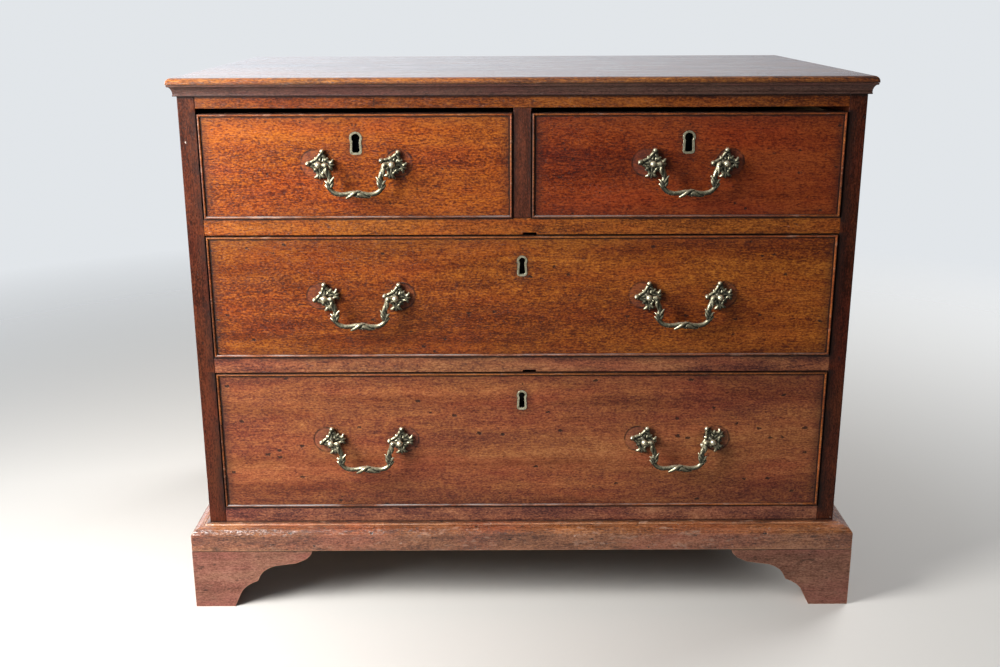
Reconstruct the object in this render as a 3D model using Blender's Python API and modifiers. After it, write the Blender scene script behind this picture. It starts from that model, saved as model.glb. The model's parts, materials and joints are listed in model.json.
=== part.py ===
"""Georgian mahogany chest of drawers: two short drawers over two long ones, cock-beaded
fronts with swan-neck bail handles, a moulded top, a moulded plinth and bracket feet.

Metres, +Z up, fronts facing -Y. The origin is on the floor, under the middle of the
chest. Each drawer is built in its own frame: x from its centre line, y from its front
face inwards, z from its lower edge."""

import math

import bmesh
import bpy
from mathutils import Matrix, Vector

# Clearances
GAP = 0.0003
RUNNING_GAP = 0.0005
DRAWER_SIDE_GAP = 0.0015
OVERRUN = 0.004
WELD = 0.00001

# Case
CASE_WIDTH = 0.860
CASE_DEPTH = 0.529
CASE_FALL = 0.022
PANEL_THICKNESS = 0.022
RAIL_HEIGHT = 0.021
RAIL_DEPTH = 0.060
BOTTOM_RAIL_SHOW = 0.0175
TOP_RAIL_SHOW = 0.0152
HOUSING_DEPTH = 0.008
HOUSING_STOP = 0.006
DIVIDER_WIDTH = 0.022
DIVIDER_TENON_LENGTH = 0.006
DIVIDER_TENON_WIDTH = 0.010
DIVIDER_TENON_DEPTH = 0.030
DUSTBOARD_THICKNESS = 0.0095
BOTTOM_BOARD_THICKNESS = 0.016
BACK_BOARD_THICKNESS = 0.009
BACK_REBATE_WIDTH = 0.012
BACK_BOARD_COUNT = 3
BACK_BOARD_JOINT = 0.002
RUNNER_WIDTH = 0.020
GUIDE_HEIGHT = 0.018
STOP_WIDTH = 0.030
STOP_DEPTH = 0.014
STOP_HEIGHT = 0.005
STOP_SHARE = 0.62

# Top
TOP_THICKNESS = 0.016
TOP_LIP_THICKNESS = 0.0085
TOP_OVERHANG = 0.0105
TOP_NOSE_RADIUS = 0.0065
TOP_MOULDING_HEIGHT = 0.014
TOP_MOULDING_WIDTH = 0.0095
TOP_MOULDING_SHARES = (
    (0.0, 0.0),
    (0.40, 0.0),
    (0.42, 0.10),
    (0.37, 0.14),
    (0.39, 0.36),
    (0.48, 0.56),
    (0.62, 0.72),
    (0.74, 0.80),
    (0.97, 0.84),
    (1.0, 1.0),
    (0.0, 1.0),
)

# Plinth and feet
PLINTH_OVERHANG = 0.0225
PLINTH_FALL = 0.038
PLINTH_TOP_DROP = 0.004
PLINTH_MOULD_HEIGHT = 0.0118
PLINTH_LEDGE = 0.020
PLINTH_MOULD_SHARES = (
    (0.0, 1.0),
    (0.24, 0.90),
    (0.28, 0.76),
    (0.34, 0.83),
    (0.55, 0.79),
    (0.75, 0.63),
    (0.90, 0.40),
    (0.98, 0.16),
    (1.0, 0.0),
)
FOOT_HEIGHT = 0.084
FOOT_LENGTH = 0.1655
FOOT_SOLE = 0.054
FOOT_THICKNESS = 0.019
FOOT_BLOCK_WIDTH = 0.030
FOOT_CURVE_SHARES = (
    (0.0, 0.0),
    (0.03, 0.085),
    (0.07, 0.20),
    (0.11, 0.30),
    (0.16, 0.365),
    (0.23, 0.425),
    (0.305, 0.465),
    (0.335, 0.555),
    (0.38, 0.635),
    (0.45, 0.695),
    (0.52, 0.732),
    (0.63, 0.752),
    (0.795, 0.783),
    (0.92, 0.857),
    (0.98, 0.94),
    (1.0, 1.0),
)
REAR_BRACKET_CURVE_SHARES = (
    (0.0, 0.0),
    (0.60, 0.72),
    (1.0, 0.80),
    (1.0, 1.0),
)

# Drawers
SHORT_FRONT_HEIGHT = 0.1325
UPPER_FRONT_HEIGHT = 0.162
LOWER_FRONT_HEIGHT = 0.1925
SHORT_HEAD_GAP = 0.0068
LONG_HEAD_GAP = 0.0018
DRAWER_DEPTH = 0.500
FRONT_THICKNESS = 0.020
SIDE_THICKNESS = 0.009
SIDE_DROP = 0.004
BACK_DROP = 0.006
DRAWER_BOTTOM_THICKNESS = 0.007
DRAWER_BOTTOM_RISE = 0.008
GROOVE_DEPTH = 0.004
TAIL_LENGTH = 0.011
TAIL_PITCH = 0.043
TAIL_TIP_SHARE = 0.36
TAIL_ROOT_SHARE = 0.28
BEAD_THICKNESS = 0.003
BEAD_DEPTH = 0.007
BEAD_PROUD = 0.002
BEAD_ARC_STEPS = 4

# Keyholes, escutcheons and locks
SHORT_KEY_DROP = 0.0367
UPPER_KEY_DROP = 0.0395
LOWER_KEY_DROP = 0.0380
KEYHOLE_CORNER = 0.0022
ESCUTCHEON_RIM = 0.0027
ESCUTCHEON_THICKNESS = 0.002
ESCUTCHEON_PROUD = 0.0006
KEYHOLE_ARC_STEPS = 10
LOCK_WIDTH = 0.056
LOCK_HEIGHT = 0.052
LOCK_DEPTH = 0.0105
LOCK_WALL = 0.0012
LINER_WALL = 0.0009
LOCK_PIN_RADIUS = 0.0011
BOLT_WIDTH = 0.016
BOLT_THICKNESS = 0.004
BOLT_STEM = 0.018
BOLT_OFFSET = 0.010
BOLT_FOOT_WIDTH = 0.028
BOLT_FOOT_HEIGHT = 0.007
LONG_BOLT_THROW = 0.008
SHORT_BOLT_THROW = 0.012
MORTISE_END_GAP = 0.0028
NOTCH_WIDTH = 0.0175
NOTCH_HEIGHT = 0.0025

# Keyhole shapes: head radius, height, and half widths at the waist and the foot
SHORT_KEYHOLE = (0.0054, 0.0235, 0.0042, 0.0048)
LONG_KEYHOLE = (0.0041, 0.0220, 0.0030, 0.0039)

# Handles
SHORT_HANDLE_RISE = 0.0042
UPPER_HANDLE_RISE = 0.0020
LOWER_HANDLE_RISE = 0.0025
LONG_HANDLE_X = 0.210
HANDLE_CENTRES = 0.092
PIVOT_STANDOFF = 0.017
ROSE_RADIUS = 0.0192
ROSE_THICKNESS = 0.0016
ROSE_LOBE_SHARES = (1.0, 0.90, 0.63, 0.66, 0.63, 0.90)
POST_SHANK_RADIUS = 0.0025
POST_COLLAR_RADIUS = 0.0052
POST_COLLAR_HEIGHT = 0.0022
POST_NECK_RADIUS = 0.0024
POST_HEAD_RADIUS = 0.0040
POST_TAIL = 0.007
POST_STEPS = 10
HEAD_ARC_STEPS = 4
NUT_RADIUS = 0.005
NUT_THICKNESS = 0.003
BAIL_HALF_SPAN = 0.0367
BAIL_DROP = 0.0374
BAIL_RADIUS = 0.0022
BAIL_KNOB_RADIUS = 0.0034
BAIL_PIN_RADIUS = 0.0010
BAIL_PIN_CLEARANCE = 0.0004
BAIL_PIN_SEAT = 0.0005
BAIL_SWELL_RADIUS = 0.0040
BAIL_KNOB_SHARES = (
    (0.0, 0.0, 0.85),
    (-0.6, 0.0, 1.0),
    (-1.2, -0.2, 0.9),
)
BAIL_ARM_SHARES = (
    (0.93, -0.17),
    (0.885, -0.32),
    (0.875, -0.455),
    (0.910, -0.57),
    (0.930, -0.68),
    (0.89, -0.81),
    (0.79, -0.93),
    (0.64, -1.0),
    (0.46, -1.0),
)
BAIL_SWELL_SHARES = (
    (0.30, -0.975, 0.25),
    (0.18, -0.955, 0.85),
    (0.06, -0.945, 1.0),
)

# Levels above the floor
CASE_Z = FOOT_HEIGHT + PLINTH_FALL
BOTTOM_RAIL_TOP = CASE_Z + BOTTOM_RAIL_SHOW
LOWER_DRAWER_Z = BOTTOM_RAIL_TOP + RUNNING_GAP
LOWER_RAIL_Z = LOWER_DRAWER_Z + LOWER_FRONT_HEIGHT + LONG_HEAD_GAP
UPPER_DRAWER_Z = LOWER_RAIL_Z + RAIL_HEIGHT + RUNNING_GAP
UPPER_RAIL_Z = UPPER_DRAWER_Z + UPPER_FRONT_HEIGHT + LONG_HEAD_GAP
SHORT_DRAWER_Z = UPPER_RAIL_Z + RAIL_HEIGHT + RUNNING_GAP
TOP_RAIL_Z = SHORT_DRAWER_Z + SHORT_FRONT_HEIGHT + SHORT_HEAD_GAP
TOP_MOULDING_Z = TOP_RAIL_Z + TOP_RAIL_SHOW
TOP_LIP_Z = TOP_MOULDING_Z + TOP_MOULDING_HEIGHT
TOP_Z = TOP_LIP_Z + TOP_LIP_THICKNESS
PANEL_TOP = TOP_Z - TOP_THICKNESS - GAP
CASE_BOTTOM = CASE_Z - CASE_FALL

# Places across and along the case
HALF_CASE = CASE_WIDTH / 2
HALF_OPENING = HALF_CASE - PANEL_THICKNESS
HALF_HOUSING = HALF_OPENING + HOUSING_DEPTH
FRONT_Y = (PLINTH_OVERHANG - CASE_DEPTH) / 2
BACK_Y = FRONT_Y + CASE_DEPTH
INNER_BACK_Y = BACK_Y - BACK_BOARD_THICKNESS - GAP
BEHIND_RAIL_Y = FRONT_Y + RAIL_DEPTH + GAP
HALF_LONG_FRONT = HALF_OPENING - DRAWER_SIDE_GAP
HALF_DIVIDER = DIVIDER_WIDTH / 2
HALF_SHORT_FRONT = (HALF_OPENING - HALF_DIVIDER) / 2 - DRAWER_SIDE_GAP
SHORT_CENTRE_X = (HALF_OPENING + HALF_DIVIDER) / 2
SIDE_RUNNER = (HALF_OPENING - GAP - RUNNER_WIDTH, HALF_OPENING - GAP)
MIDDLE_RUNNER = (-HALF_DIVIDER - RUNNER_WIDTH, HALF_DIVIDER + RUNNER_WIDTH)
DUSTBOARD_RISE = (RAIL_HEIGHT - DUSTBOARD_THICKNESS) / 2
LOCK_Y = FRONT_THICKNESS - LOCK_DEPTH / 2

# The drawers, each from its lower edge, with the places of its keyhole and handles
DRAWERS = (
    dict(name="short_left", x=-SHORT_CENTRE_X, half=HALF_SHORT_FRONT, z=SHORT_DRAWER_Z,
         height=SHORT_FRONT_HEIGHT, keyhole=SHORT_KEYHOLE, key_drop=SHORT_KEY_DROP,
         handle_rise=SHORT_HANDLE_RISE, handles=(0.0,)),
    dict(name="short_right", x=SHORT_CENTRE_X, half=HALF_SHORT_FRONT, z=SHORT_DRAWER_Z,
         height=SHORT_FRONT_HEIGHT, keyhole=SHORT_KEYHOLE, key_drop=SHORT_KEY_DROP,
         handle_rise=SHORT_HANDLE_RISE, handles=(0.0,)),
    dict(name="upper_long", x=0.0, half=HALF_LONG_FRONT, z=UPPER_DRAWER_Z,
         height=UPPER_FRONT_HEIGHT, keyhole=LONG_KEYHOLE, key_drop=UPPER_KEY_DROP,
         handle_rise=UPPER_HANDLE_RISE, handles=(-LONG_HANDLE_X, LONG_HANDLE_X)),
    dict(name="lower_long", x=0.0, half=HALF_LONG_FRONT, z=LOWER_DRAWER_Z,
         height=LOWER_FRONT_HEIGHT, keyhole=LONG_KEYHOLE, key_drop=LOWER_KEY_DROP,
         handle_rise=LOWER_HANDLE_RISE, handles=(-LONG_HANDLE_X, LONG_HANDLE_X)),
)

# Turns: a plate's outline into the XZ plane, and into the YZ plane
UPRIGHT = Matrix.Rotation(math.pi / 2, 4, "X")
SIDEWAYS = Matrix(((0, 0, 1, 0), (1, 0, 0, 0), (0, 1, 0, 0), (0, 0, 0, 1)))
LENGTHWAYS = Matrix(((0, 0, -1, 0), (-1, 0, 0, 0), (0, 1, 0, 0), (0, 0, 0, 1)))

for old in list(bpy.data.objects):
    bpy.data.objects.remove(old, do_unlink=True)

chest = bpy.data.collections.new("chest_of_drawers")
cutters = bpy.data.collections.new("cutters")
bpy.context.scene.collection.children.link(chest)
bpy.context.scene.collection.children.link(cutters)


def finish(name, colour, roughness, metallic=0.0):
    """A Principled material with one colour."""
    material = bpy.data.materials.new(name)
    material.use_nodes = True
    shader = material.node_tree.nodes["Principled BSDF"]
    shader.inputs["Base Color"].default_value = (*colour, 1.0)
    shader.inputs["Roughness"].default_value = roughness
    shader.inputs["Metallic"].default_value = metallic
    material.diffuse_color = (*colour, 1.0)
    return material


FRONT_WOOD = finish("mahogany_front", (0.24, 0.070, 0.022), 0.35)
CASE_WOOD = finish("mahogany_case", (0.12, 0.035, 0.015), 0.38)
TOP_WOOD = finish("mahogany_top", (0.10, 0.030, 0.014), 0.20)
PLINTH_WOOD = finish("mahogany_plinth", (0.17, 0.048, 0.020), 0.35)
BEAD_WOOD = finish("bead_wood", (0.30, 0.095, 0.030), 0.40)
OAK = finish("oak", (0.32, 0.20, 0.10), 0.70)
BRASS = finish("aged_brass", (0.42, 0.36, 0.20), 0.35, 1.0)
LOCK_IRON = finish("lock_iron", (0.16, 0.15, 0.14), 0.50, 1.0)


def evaluated(source):
    """The mesh an object evaluates to, as a welded bmesh; the object is removed."""
    bpy.context.view_layer.update()
    graph = bpy.context.evaluated_depsgraph_get()
    mesh = bpy.data.meshes.new_from_object(source.evaluated_get(graph))
    bm = bmesh.new()
    bm.from_mesh(mesh)
    bmesh.ops.remove_doubles(bm, verts=bm.verts, dist=WELD)
    bpy.data.meshes.remove(mesh)
    bpy.data.objects.remove(source, do_unlink=True)
    return bm


def box(x, y, z):
    """A closed box between the given limits."""
    bm = bmesh.new()
    size = (x[1] - x[0], y[1] - y[0], z[1] - z[0])
    centre = Vector((x[0] + x[1], y[0] + y[1], z[0] + z[1])) / 2
    place = Matrix.Translation(centre) @ Matrix.Diagonal((*size, 1))
    bmesh.ops.create_cube(bm, size=1, matrix=place)
    return bm


def rod(radius, start, end, turn, segments=12):
    """A cylinder along local Z from start to end, then turned."""
    bm = bmesh.new()
    place = turn @ Matrix.Translation((0, 0, (start + end) / 2))
    bmesh.ops.create_cone(bm, cap_ends=True, segments=segments, radius1=radius,
                          radius2=radius, depth=end - start, matrix=place)
    return bm


def plate(outlines, thickness, turn=UPRIGHT, centre=(0, 0, 0)):
    """Flat outlines, the later ones holes in the first, given a thickness and turned."""
    curve = bpy.data.curves.new("outline", "CURVE")
    curve.dimensions = "2D"
    curve.fill_mode = "BOTH"
    curve.extrude = thickness / 2
    for outline in outlines:
        spline = curve.splines.new("POLY")
        spline.points.add(len(outline) - 1)
        for point, (u, v) in zip(spline.points, outline):
            point.co = (u, v, 0, 1)
        spline.use_cyclic_u = True
    holder = bpy.data.objects.new("outline", curve)
    bpy.context.scene.collection.objects.link(holder)
    bm = evaluated(holder)
    bmesh.ops.transform(bm, matrix=Matrix.Translation(centre) @ turn, verts=bm.verts)
    bmesh.ops.recalc_face_normals(bm, faces=bm.faces)
    return bm


def moulded(section, start, end, start_mitre=0, end_mitre=0):
    """A section of (outward, up) points run along X, outward being -Y. A mitre of 1
    lengthens that end by each point's outward reach, as an outer corner needs."""
    bm = plate([section], end - start, LENGTHWAYS, ((start + end) / 2, 0, 0))
    for vertex in bm.verts:
        if vertex.co.x < (start + end) / 2:
            vertex.co.x += vertex.co.y * start_mitre
        else:
            vertex.co.x -= vertex.co.y * end_mitre
    return bm


def moved(bm, matrix):
    """The shape after a move, turned the right way out if it was mirrored."""
    bmesh.ops.transform(bm, matrix=matrix, verts=bm.verts)
    if matrix.determinant() < 0:
        bmesh.ops.reverse_faces(bm, faces=bm.faces)
    return bm


def together(pieces):
    """Separate shapes as one bmesh."""
    whole = bmesh.new()
    for bm in pieces:
        mesh = bpy.data.meshes.new("piece")
        bm.to_mesh(mesh)
        bm.free()
        whole.from_mesh(mesh)
        bpy.data.meshes.remove(mesh)
    return whole


def add(name, bm, material, parent=None, location=(0, 0, 0), smooth=False):
    """One named object of the chest."""
    mesh = bpy.data.meshes.new(name)
    bm.to_mesh(mesh)
    bm.free()
    mesh.materials.append(material)
    if smooth:
        mesh.shade_smooth()
        mesh.set_sharp_from_angle(angle=math.radians(35))
    piece = bpy.data.objects.new(name, mesh)
    piece.location = location
    piece.parent = parent
    chest.objects.link(piece)
    return piece


def combine(piece, bm, operation="DIFFERENCE"):
    """Cut a shape in the piece's own coordinates from it, or join it on with UNION."""
    mesh = bpy.data.meshes.new("cutter")
    bm.to_mesh(mesh)
    bm.free()
    cutter = bpy.data.objects.new(piece.name + "_cutter", mesh)
    cutter.hide_render = True
    cutter.display_type = "WIRE"
    cutter.parent = piece.parent
    cutter.location = piece.location
    cutters.objects.link(cutter)
    boolean = piece.modifiers.new(operation.lower(), "BOOLEAN")
    boolean.operation = operation
    boolean.object = cutter


def mirror_pair(make):
    """A shape and its mirror image across x = 0."""
    return together([make(), moved(make(), Matrix.Scale(-1, 4, (1, 0, 0)))])


def join_on(piece, shapes):
    """Join shapes that reach into a piece, so that all are one body."""
    combine(piece, together(shapes), "UNION")


# Case


def side_panels():
    """The two sides, rebated for the back and the bottom, grooved for the rails."""
    for side, name in ((-1, "side_panel_left"), (1, "side_panel_right")):
        flip = Matrix.Scale(side, 4, (1, 0, 0))
        panel = add(name, moved(box((HALF_OPENING, HALF_CASE), (FRONT_Y, BACK_Y),
                                    (CASE_BOTTOM, PANEL_TOP)), flip), CASE_WOOD)
        reach = (HALF_OPENING - OVERRUN, HALF_HOUSING)
        back = box((HALF_OPENING - OVERRUN, HALF_OPENING + BACK_REBATE_WIDTH),
                   (INNER_BACK_Y, BACK_Y + OVERRUN),
                   (CASE_BOTTOM - OVERRUN, PANEL_TOP + OVERRUN))
        bottom = box(reach, (FRONT_Y - OVERRUN, INNER_BACK_Y + OVERRUN),
                     (CASE_BOTTOM - OVERRUN, CASE_BOTTOM + BOTTOM_BOARD_THICKNESS + GAP))
        grooves = [
            box(reach, (FRONT_Y + HOUSING_STOP, INNER_BACK_Y + OVERRUN),
                (level + DUSTBOARD_RISE - GAP,
                 level + DUSTBOARD_RISE + DUSTBOARD_THICKNESS + GAP))
            for level in (LOWER_RAIL_Z, UPPER_RAIL_Z)]
        grooves += [
            box(reach, (FRONT_Y + HOUSING_STOP, FRONT_Y + RAIL_DEPTH + GAP),
                (TOP_RAIL_Z + DUSTBOARD_RISE - GAP,
                 TOP_RAIL_Z + DUSTBOARD_RISE + DUSTBOARD_THICKNESS + GAP))]
        combine(panel, moved(back, flip))
        combine(panel, moved(bottom, flip))
        combine(panel, moved(together(grooves), flip))


def rail(name, z, height, tenon_z):
    """A rail across the front, tenoned into the grooves of the sides."""
    half = HALF_OPENING - GAP
    piece = add(name, box((-half, half), (FRONT_Y, FRONT_Y + RAIL_DEPTH), (z, z + height)),
                CASE_WOOD)
    half = HALF_HOUSING - GAP
    combine(piece, box((-half, half), (FRONT_Y + HOUSING_STOP + GAP, FRONT_Y + RAIL_DEPTH),
                       (tenon_z, tenon_z + DUSTBOARD_THICKNESS)), "UNION")
    return piece


def bolt_mortises(piece, z, centres, depth):
    """Holes in a rail's underside for lock bolts, right of the keyholes."""
    y = FRONT_Y + LOCK_Y
    half = BOLT_WIDTH / 2 + RUNNING_GAP
    combine(piece, together([
        box((x + BOLT_OFFSET - half, x + BOLT_OFFSET + half),
            (y - BOLT_THICKNESS, y + BOLT_THICKNESS), (z - OVERRUN, z + depth))
        for x in centres]))


def worn_notch(piece, z):
    """The place in front of a mortise where the bolt has worn through the rail's edge."""
    half = NOTCH_WIDTH / 2
    combine(piece, box((BOLT_OFFSET - half, BOLT_OFFSET + half),
                       (FRONT_Y - OVERRUN, FRONT_Y + LOCK_Y), (z - OVERRUN, z + NOTCH_HEIGHT)))


def divider_mortise(piece, z):
    """The housing for the divider's tenon, in a rail's top or underside."""
    half = DIVIDER_TENON_WIDTH / 2 + GAP
    middle = FRONT_Y + RAIL_DEPTH / 2
    reach = DIVIDER_TENON_DEPTH / 2 + GAP
    combine(piece, box((-half, half), (middle - reach, middle + reach),
                       (z - DIVIDER_TENON_LENGTH - GAP, z + DIVIDER_TENON_LENGTH + GAP)))


def stops(piece, level):
    """Blocks on a rail that stop the drawer fronts which stand on it."""
    y = FRONT_Y + FRONT_THICKNESS + GAP
    half = STOP_WIDTH / 2
    blocks = []
    for drawer in DRAWERS:
        if abs(drawer["z"] - RUNNING_GAP - level) < WELD:
            for hand in (-1, 1):
                x = drawer["x"] + hand * drawer["half"] * STOP_SHARE
                blocks.append(box((x - half, x + half), (y, y + STOP_DEPTH),
                                  (level - STOP_HEIGHT, level + STOP_HEIGHT)))
    join_on(piece, blocks)


def rails():
    """Four rails, the kickers behind the top one, and the short drawers' divider."""
    bottom = add("bottom_rail", box((GAP - HALF_OPENING, HALF_OPENING - GAP),
                                    (FRONT_Y, FRONT_Y + RAIL_DEPTH),
                                    (CASE_BOTTOM + BOTTOM_BOARD_THICKNESS + GAP,
                                     BOTTOM_RAIL_TOP)), CASE_WOOD)
    lower = rail("lower_rail", LOWER_RAIL_Z, RAIL_HEIGHT, LOWER_RAIL_Z + DUSTBOARD_RISE)
    upper = rail("upper_rail", UPPER_RAIL_Z, RAIL_HEIGHT, UPPER_RAIL_Z + DUSTBOARD_RISE)
    top = rail("top_rail", TOP_RAIL_Z, PANEL_TOP - TOP_RAIL_Z, TOP_RAIL_Z + DUSTBOARD_RISE)
    stops(bottom, BOTTOM_RAIL_TOP)
    stops(lower, LOWER_RAIL_Z + RAIL_HEIGHT)
    stops(upper, UPPER_RAIL_Z + RAIL_HEIGHT)
    kicker_y = (FRONT_Y + RAIL_DEPTH / 2, INNER_BACK_Y - GAP)
    join_on(top, [box(x, kicker_y, (TOP_RAIL_Z + GAP, PANEL_TOP - GAP))
                  for x in (SIDE_RUNNER, MIDDLE_RUNNER, (-SIDE_RUNNER[1], -SIDE_RUNNER[0]))])
    depth = LONG_BOLT_THROW - LONG_HEAD_GAP + MORTISE_END_GAP
    for piece, z in ((lower, LOWER_RAIL_Z), (upper, UPPER_RAIL_Z)):
        bolt_mortises(piece, z, (0,), depth)
        worn_notch(piece, z)
    bolt_mortises(top, TOP_RAIL_Z, (-SHORT_CENTRE_X, SHORT_CENTRE_X),
                  SHORT_BOLT_THROW - SHORT_HEAD_GAP + MORTISE_END_GAP)
    divider_mortise(upper, UPPER_RAIL_Z + RAIL_HEIGHT)
    divider_mortise(top, TOP_RAIL_Z)
    low = UPPER_RAIL_Z + RAIL_HEIGHT + GAP
    high = TOP_RAIL_Z - GAP
    divider = add("drawer_divider", box((-HALF_DIVIDER, HALF_DIVIDER),
                                        (FRONT_Y, FRONT_Y + RAIL_DEPTH), (low, high)),
                  CASE_WOOD)
    half = DIVIDER_TENON_WIDTH / 2
    middle = FRONT_Y + RAIL_DEPTH / 2
    reach = DIVIDER_TENON_DEPTH / 2
    join_on(divider, [box((-half, half), (middle - reach, middle + reach),
                          (low - DIVIDER_TENON_LENGTH, high + DIVIDER_TENON_LENGTH))])


def boards():
    """Dustboards and bottom board with the drawers' runners on them, and the back."""
    half = HALF_HOUSING - GAP
    y = (BEHIND_RAIL_Y, INNER_BACK_Y - GAP)
    sides = (SIDE_RUNNER, (-SIDE_RUNNER[1], -SIDE_RUNNER[0]))
    for name, level, places in (("lower_dustboard", LOWER_RAIL_Z, sides),
                                ("upper_dustboard", UPPER_RAIL_Z, sides + (MIDDLE_RUNNER,))):
        low = level + DUSTBOARD_RISE
        board = add(name, box((-half, half), y, (low, low + DUSTBOARD_THICKNESS)), OAK)
        join_on(board, [box(x, y, (low + DUSTBOARD_RISE, level + RAIL_HEIGHT))
                        for x in places])
        if MIDDLE_RUNNER in places:
            join_on(board, [box((-HALF_DIVIDER, HALF_DIVIDER), y,
                                (level + DUSTBOARD_RISE + RAIL_HEIGHT / 2,
                                 level + RAIL_HEIGHT + GUIDE_HEIGHT))])
    top_z = CASE_BOTTOM + BOTTOM_BOARD_THICKNESS
    board = add("bottom_board", box((-half, half), (FRONT_Y, INNER_BACK_Y - GAP),
                                    (CASE_BOTTOM, top_z)), OAK)
    join_on(board, [box(x, y, (CASE_BOTTOM + BOTTOM_BOARD_THICKNESS / 2, BOTTOM_RAIL_TOP))
                    for x in sides])
    half = HALF_OPENING + BACK_REBATE_WIDTH - GAP
    back = add("back_board", box((-half, half), (INNER_BACK_Y + GAP, BACK_Y),
                                 (CASE_BOTTOM, PANEL_TOP)), OAK)
    joints = []
    for i in range(1, BACK_BOARD_COUNT):
        x = 2 * half * i / BACK_BOARD_COUNT - half
        joints.append(box((x - BACK_BOARD_JOINT / 2, x + BACK_BOARD_JOINT / 2),
                          (BACK_Y - BACK_BOARD_JOINT, BACK_Y + OVERRUN),
                          (CASE_BOTTOM - OVERRUN, PANEL_TOP + OVERRUN)))
    combine(back, together(joints))


def top():
    """The top board with its rounded lip, and the moulding under the lip."""
    half = HALF_CASE + TOP_OVERHANG
    bm = box((-half, half), (FRONT_Y - TOP_OVERHANG, BACK_Y), (TOP_LIP_Z + GAP, TOP_Z))
    upper_edges = [
        edge for edge in bm.edges
        if min(v.co.z for v in edge.verts) > TOP_Z - WELD
        and min(v.co.y for v in edge.verts) < BACK_Y - WELD]
    bmesh.ops.bevel(bm, geom=upper_edges, offset=TOP_NOSE_RADIUS, segments=4, profile=0.5,
                    affect="EDGES")
    board = add("top_board", bm, TOP_WOOD)
    half = HALF_CASE - GAP
    combine(board, box((-half, half), (FRONT_Y + GAP, BACK_Y),
                       (PANEL_TOP + GAP, (TOP_LIP_Z + TOP_Z) / 2)), "UNION")

    section = [(GAP + u * TOP_MOULDING_WIDTH, TOP_MOULDING_Z + v * TOP_MOULDING_HEIGHT)
               for u, v in TOP_MOULDING_SHARES]
    add("top_moulding", frame_moulding(section), CASE_WOOD)


def frame_moulding(section):
    """A moulding along the front and both sides in one, mitred at the front corners."""
    bm = moulded(section, -HALF_CASE, HALF_CASE, 1, 1)
    moved(bm, Matrix.Translation((0, FRONT_Y, 0)))
    for hand in (-1, 1):
        end = [face for face in bm.faces if all(v.co.x * hand > 0 for v in face.verts)]
        run = bmesh.ops.extrude_face_region(bm, geom=end)["geom"]
        for vertex in run:
            if isinstance(vertex, bmesh.types.BMVert):
                vertex.co.y = BACK_Y
        bmesh.ops.delete(bm, geom=end, context="FACES")
    bmesh.ops.recalc_face_normals(bm, faces=bm.faces)
    return bm


def plinth():
    """The base moulding: a ledge under the case, a flat face and a rounded top."""
    top_z = CASE_Z - PLINTH_TOP_DROP
    face_z = top_z - PLINTH_MOULD_HEIGHT
    section = [(GAP, CASE_BOTTOM - GAP), (-PLINTH_LEDGE, CASE_BOTTOM - GAP),
               (-PLINTH_LEDGE, FOOT_HEIGHT), (PLINTH_OVERHANG, FOOT_HEIGHT)]
    section += [(GAP + u * (PLINTH_OVERHANG - GAP), face_z + v * PLINTH_MOULD_HEIGHT)
                for u, v in reversed(PLINTH_MOULD_SHARES)]
    add("plinth_moulding", frame_moulding(section), PLINTH_WOOD)


def foot_plan():
    """The foot's two brackets and the glue block in their corner, seen from above, from
    the outer corner along +X and +Y, with some length to cut off."""
    length = FOOT_LENGTH + OVERRUN
    inner = FOOT_THICKNESS
    block = FOOT_THICKNESS + FOOT_BLOCK_WIDTH
    return [(0, 0), (length, 0), (length, inner), (block, inner), (block, block),
            (inner, block), (inner, length), (0, length)]


def bracket_waste(curve):
    """What the saw takes off one bracket along X, so that it is left its curve."""
    height = FOOT_HEIGHT - GAP
    reach = FOOT_LENGTH - FOOT_SOLE
    outline = [(FOOT_SOLE, -OVERRUN)]
    outline += [(FOOT_SOLE + u * reach, v * height) for u, v in curve[:-1]]
    outline += [(FOOT_LENGTH, height + OVERRUN), (FOOT_LENGTH + 2 * OVERRUN, height + OVERRUN),
                (FOOT_LENGTH + 2 * OVERRUN, -OVERRUN)]
    return plate([outline], FOOT_THICKNESS + 2 * OVERRUN, UPRIGHT, (0, FOOT_THICKNESS / 2, 0))


def feet():
    """Four feet, each of two brackets sawn to their curves and a glue block."""
    swap = Matrix(((0, 1, 0, 0), (1, 0, 0, 0), (0, 0, 1, 0), (0, 0, 0, 1)))
    height = FOOT_HEIGHT - GAP
    for name, across, along, curve in (
            ("foot_front_left", 1, 1, FOOT_CURVE_SHARES),
            ("foot_front_right", -1, 1, FOOT_CURVE_SHARES),
            ("foot_rear_left", 1, -1, REAR_BRACKET_CURVE_SHARES),
            ("foot_rear_right", -1, -1, REAR_BRACKET_CURVE_SHARES)):
        corner_x = -across * (HALF_CASE + PLINTH_OVERHANG)
        corner_y = FRONT_Y - PLINTH_OVERHANG if along > 0 else BACK_Y
        turn = Matrix.Diagonal((across, along, 1, 1))
        blank = plate([foot_plan()], height, Matrix.Identity(4), (0, 0, height / 2))
        foot = add(name, moved(blank, turn), PLINTH_WOOD, None, (corner_x, corner_y, 0))
        combine(foot, moved(bracket_waste(curve), turn))
        combine(foot, moved(bracket_waste(FOOT_CURVE_SHARES), turn @ swap))


# Drawers


def tail_rows(height):
    """The middle heights of the dovetails along a drawer side, and their pitch."""
    count = max(2, round(height / TAIL_PITCH))
    pitch = height / count
    return [(i + 0.5) * pitch for i in range(count)], pitch


def tail_outline(middle, pitch, clearance=0.0, overrun=0.0):
    """One dovetail as (y, z) points, from its root to its wider tip and back."""
    root = FRONT_THICKNESS + GAP + overrun
    tip = FRONT_THICKNESS - TAIL_LENGTH - clearance
    root_half = pitch * TAIL_ROOT_SHARE + clearance
    tip_half = pitch * TAIL_TIP_SHARE + clearance
    return [(root, middle - root_half), (tip, middle - tip_half),
            (tip, middle + tip_half), (root, middle + root_half)]


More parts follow.
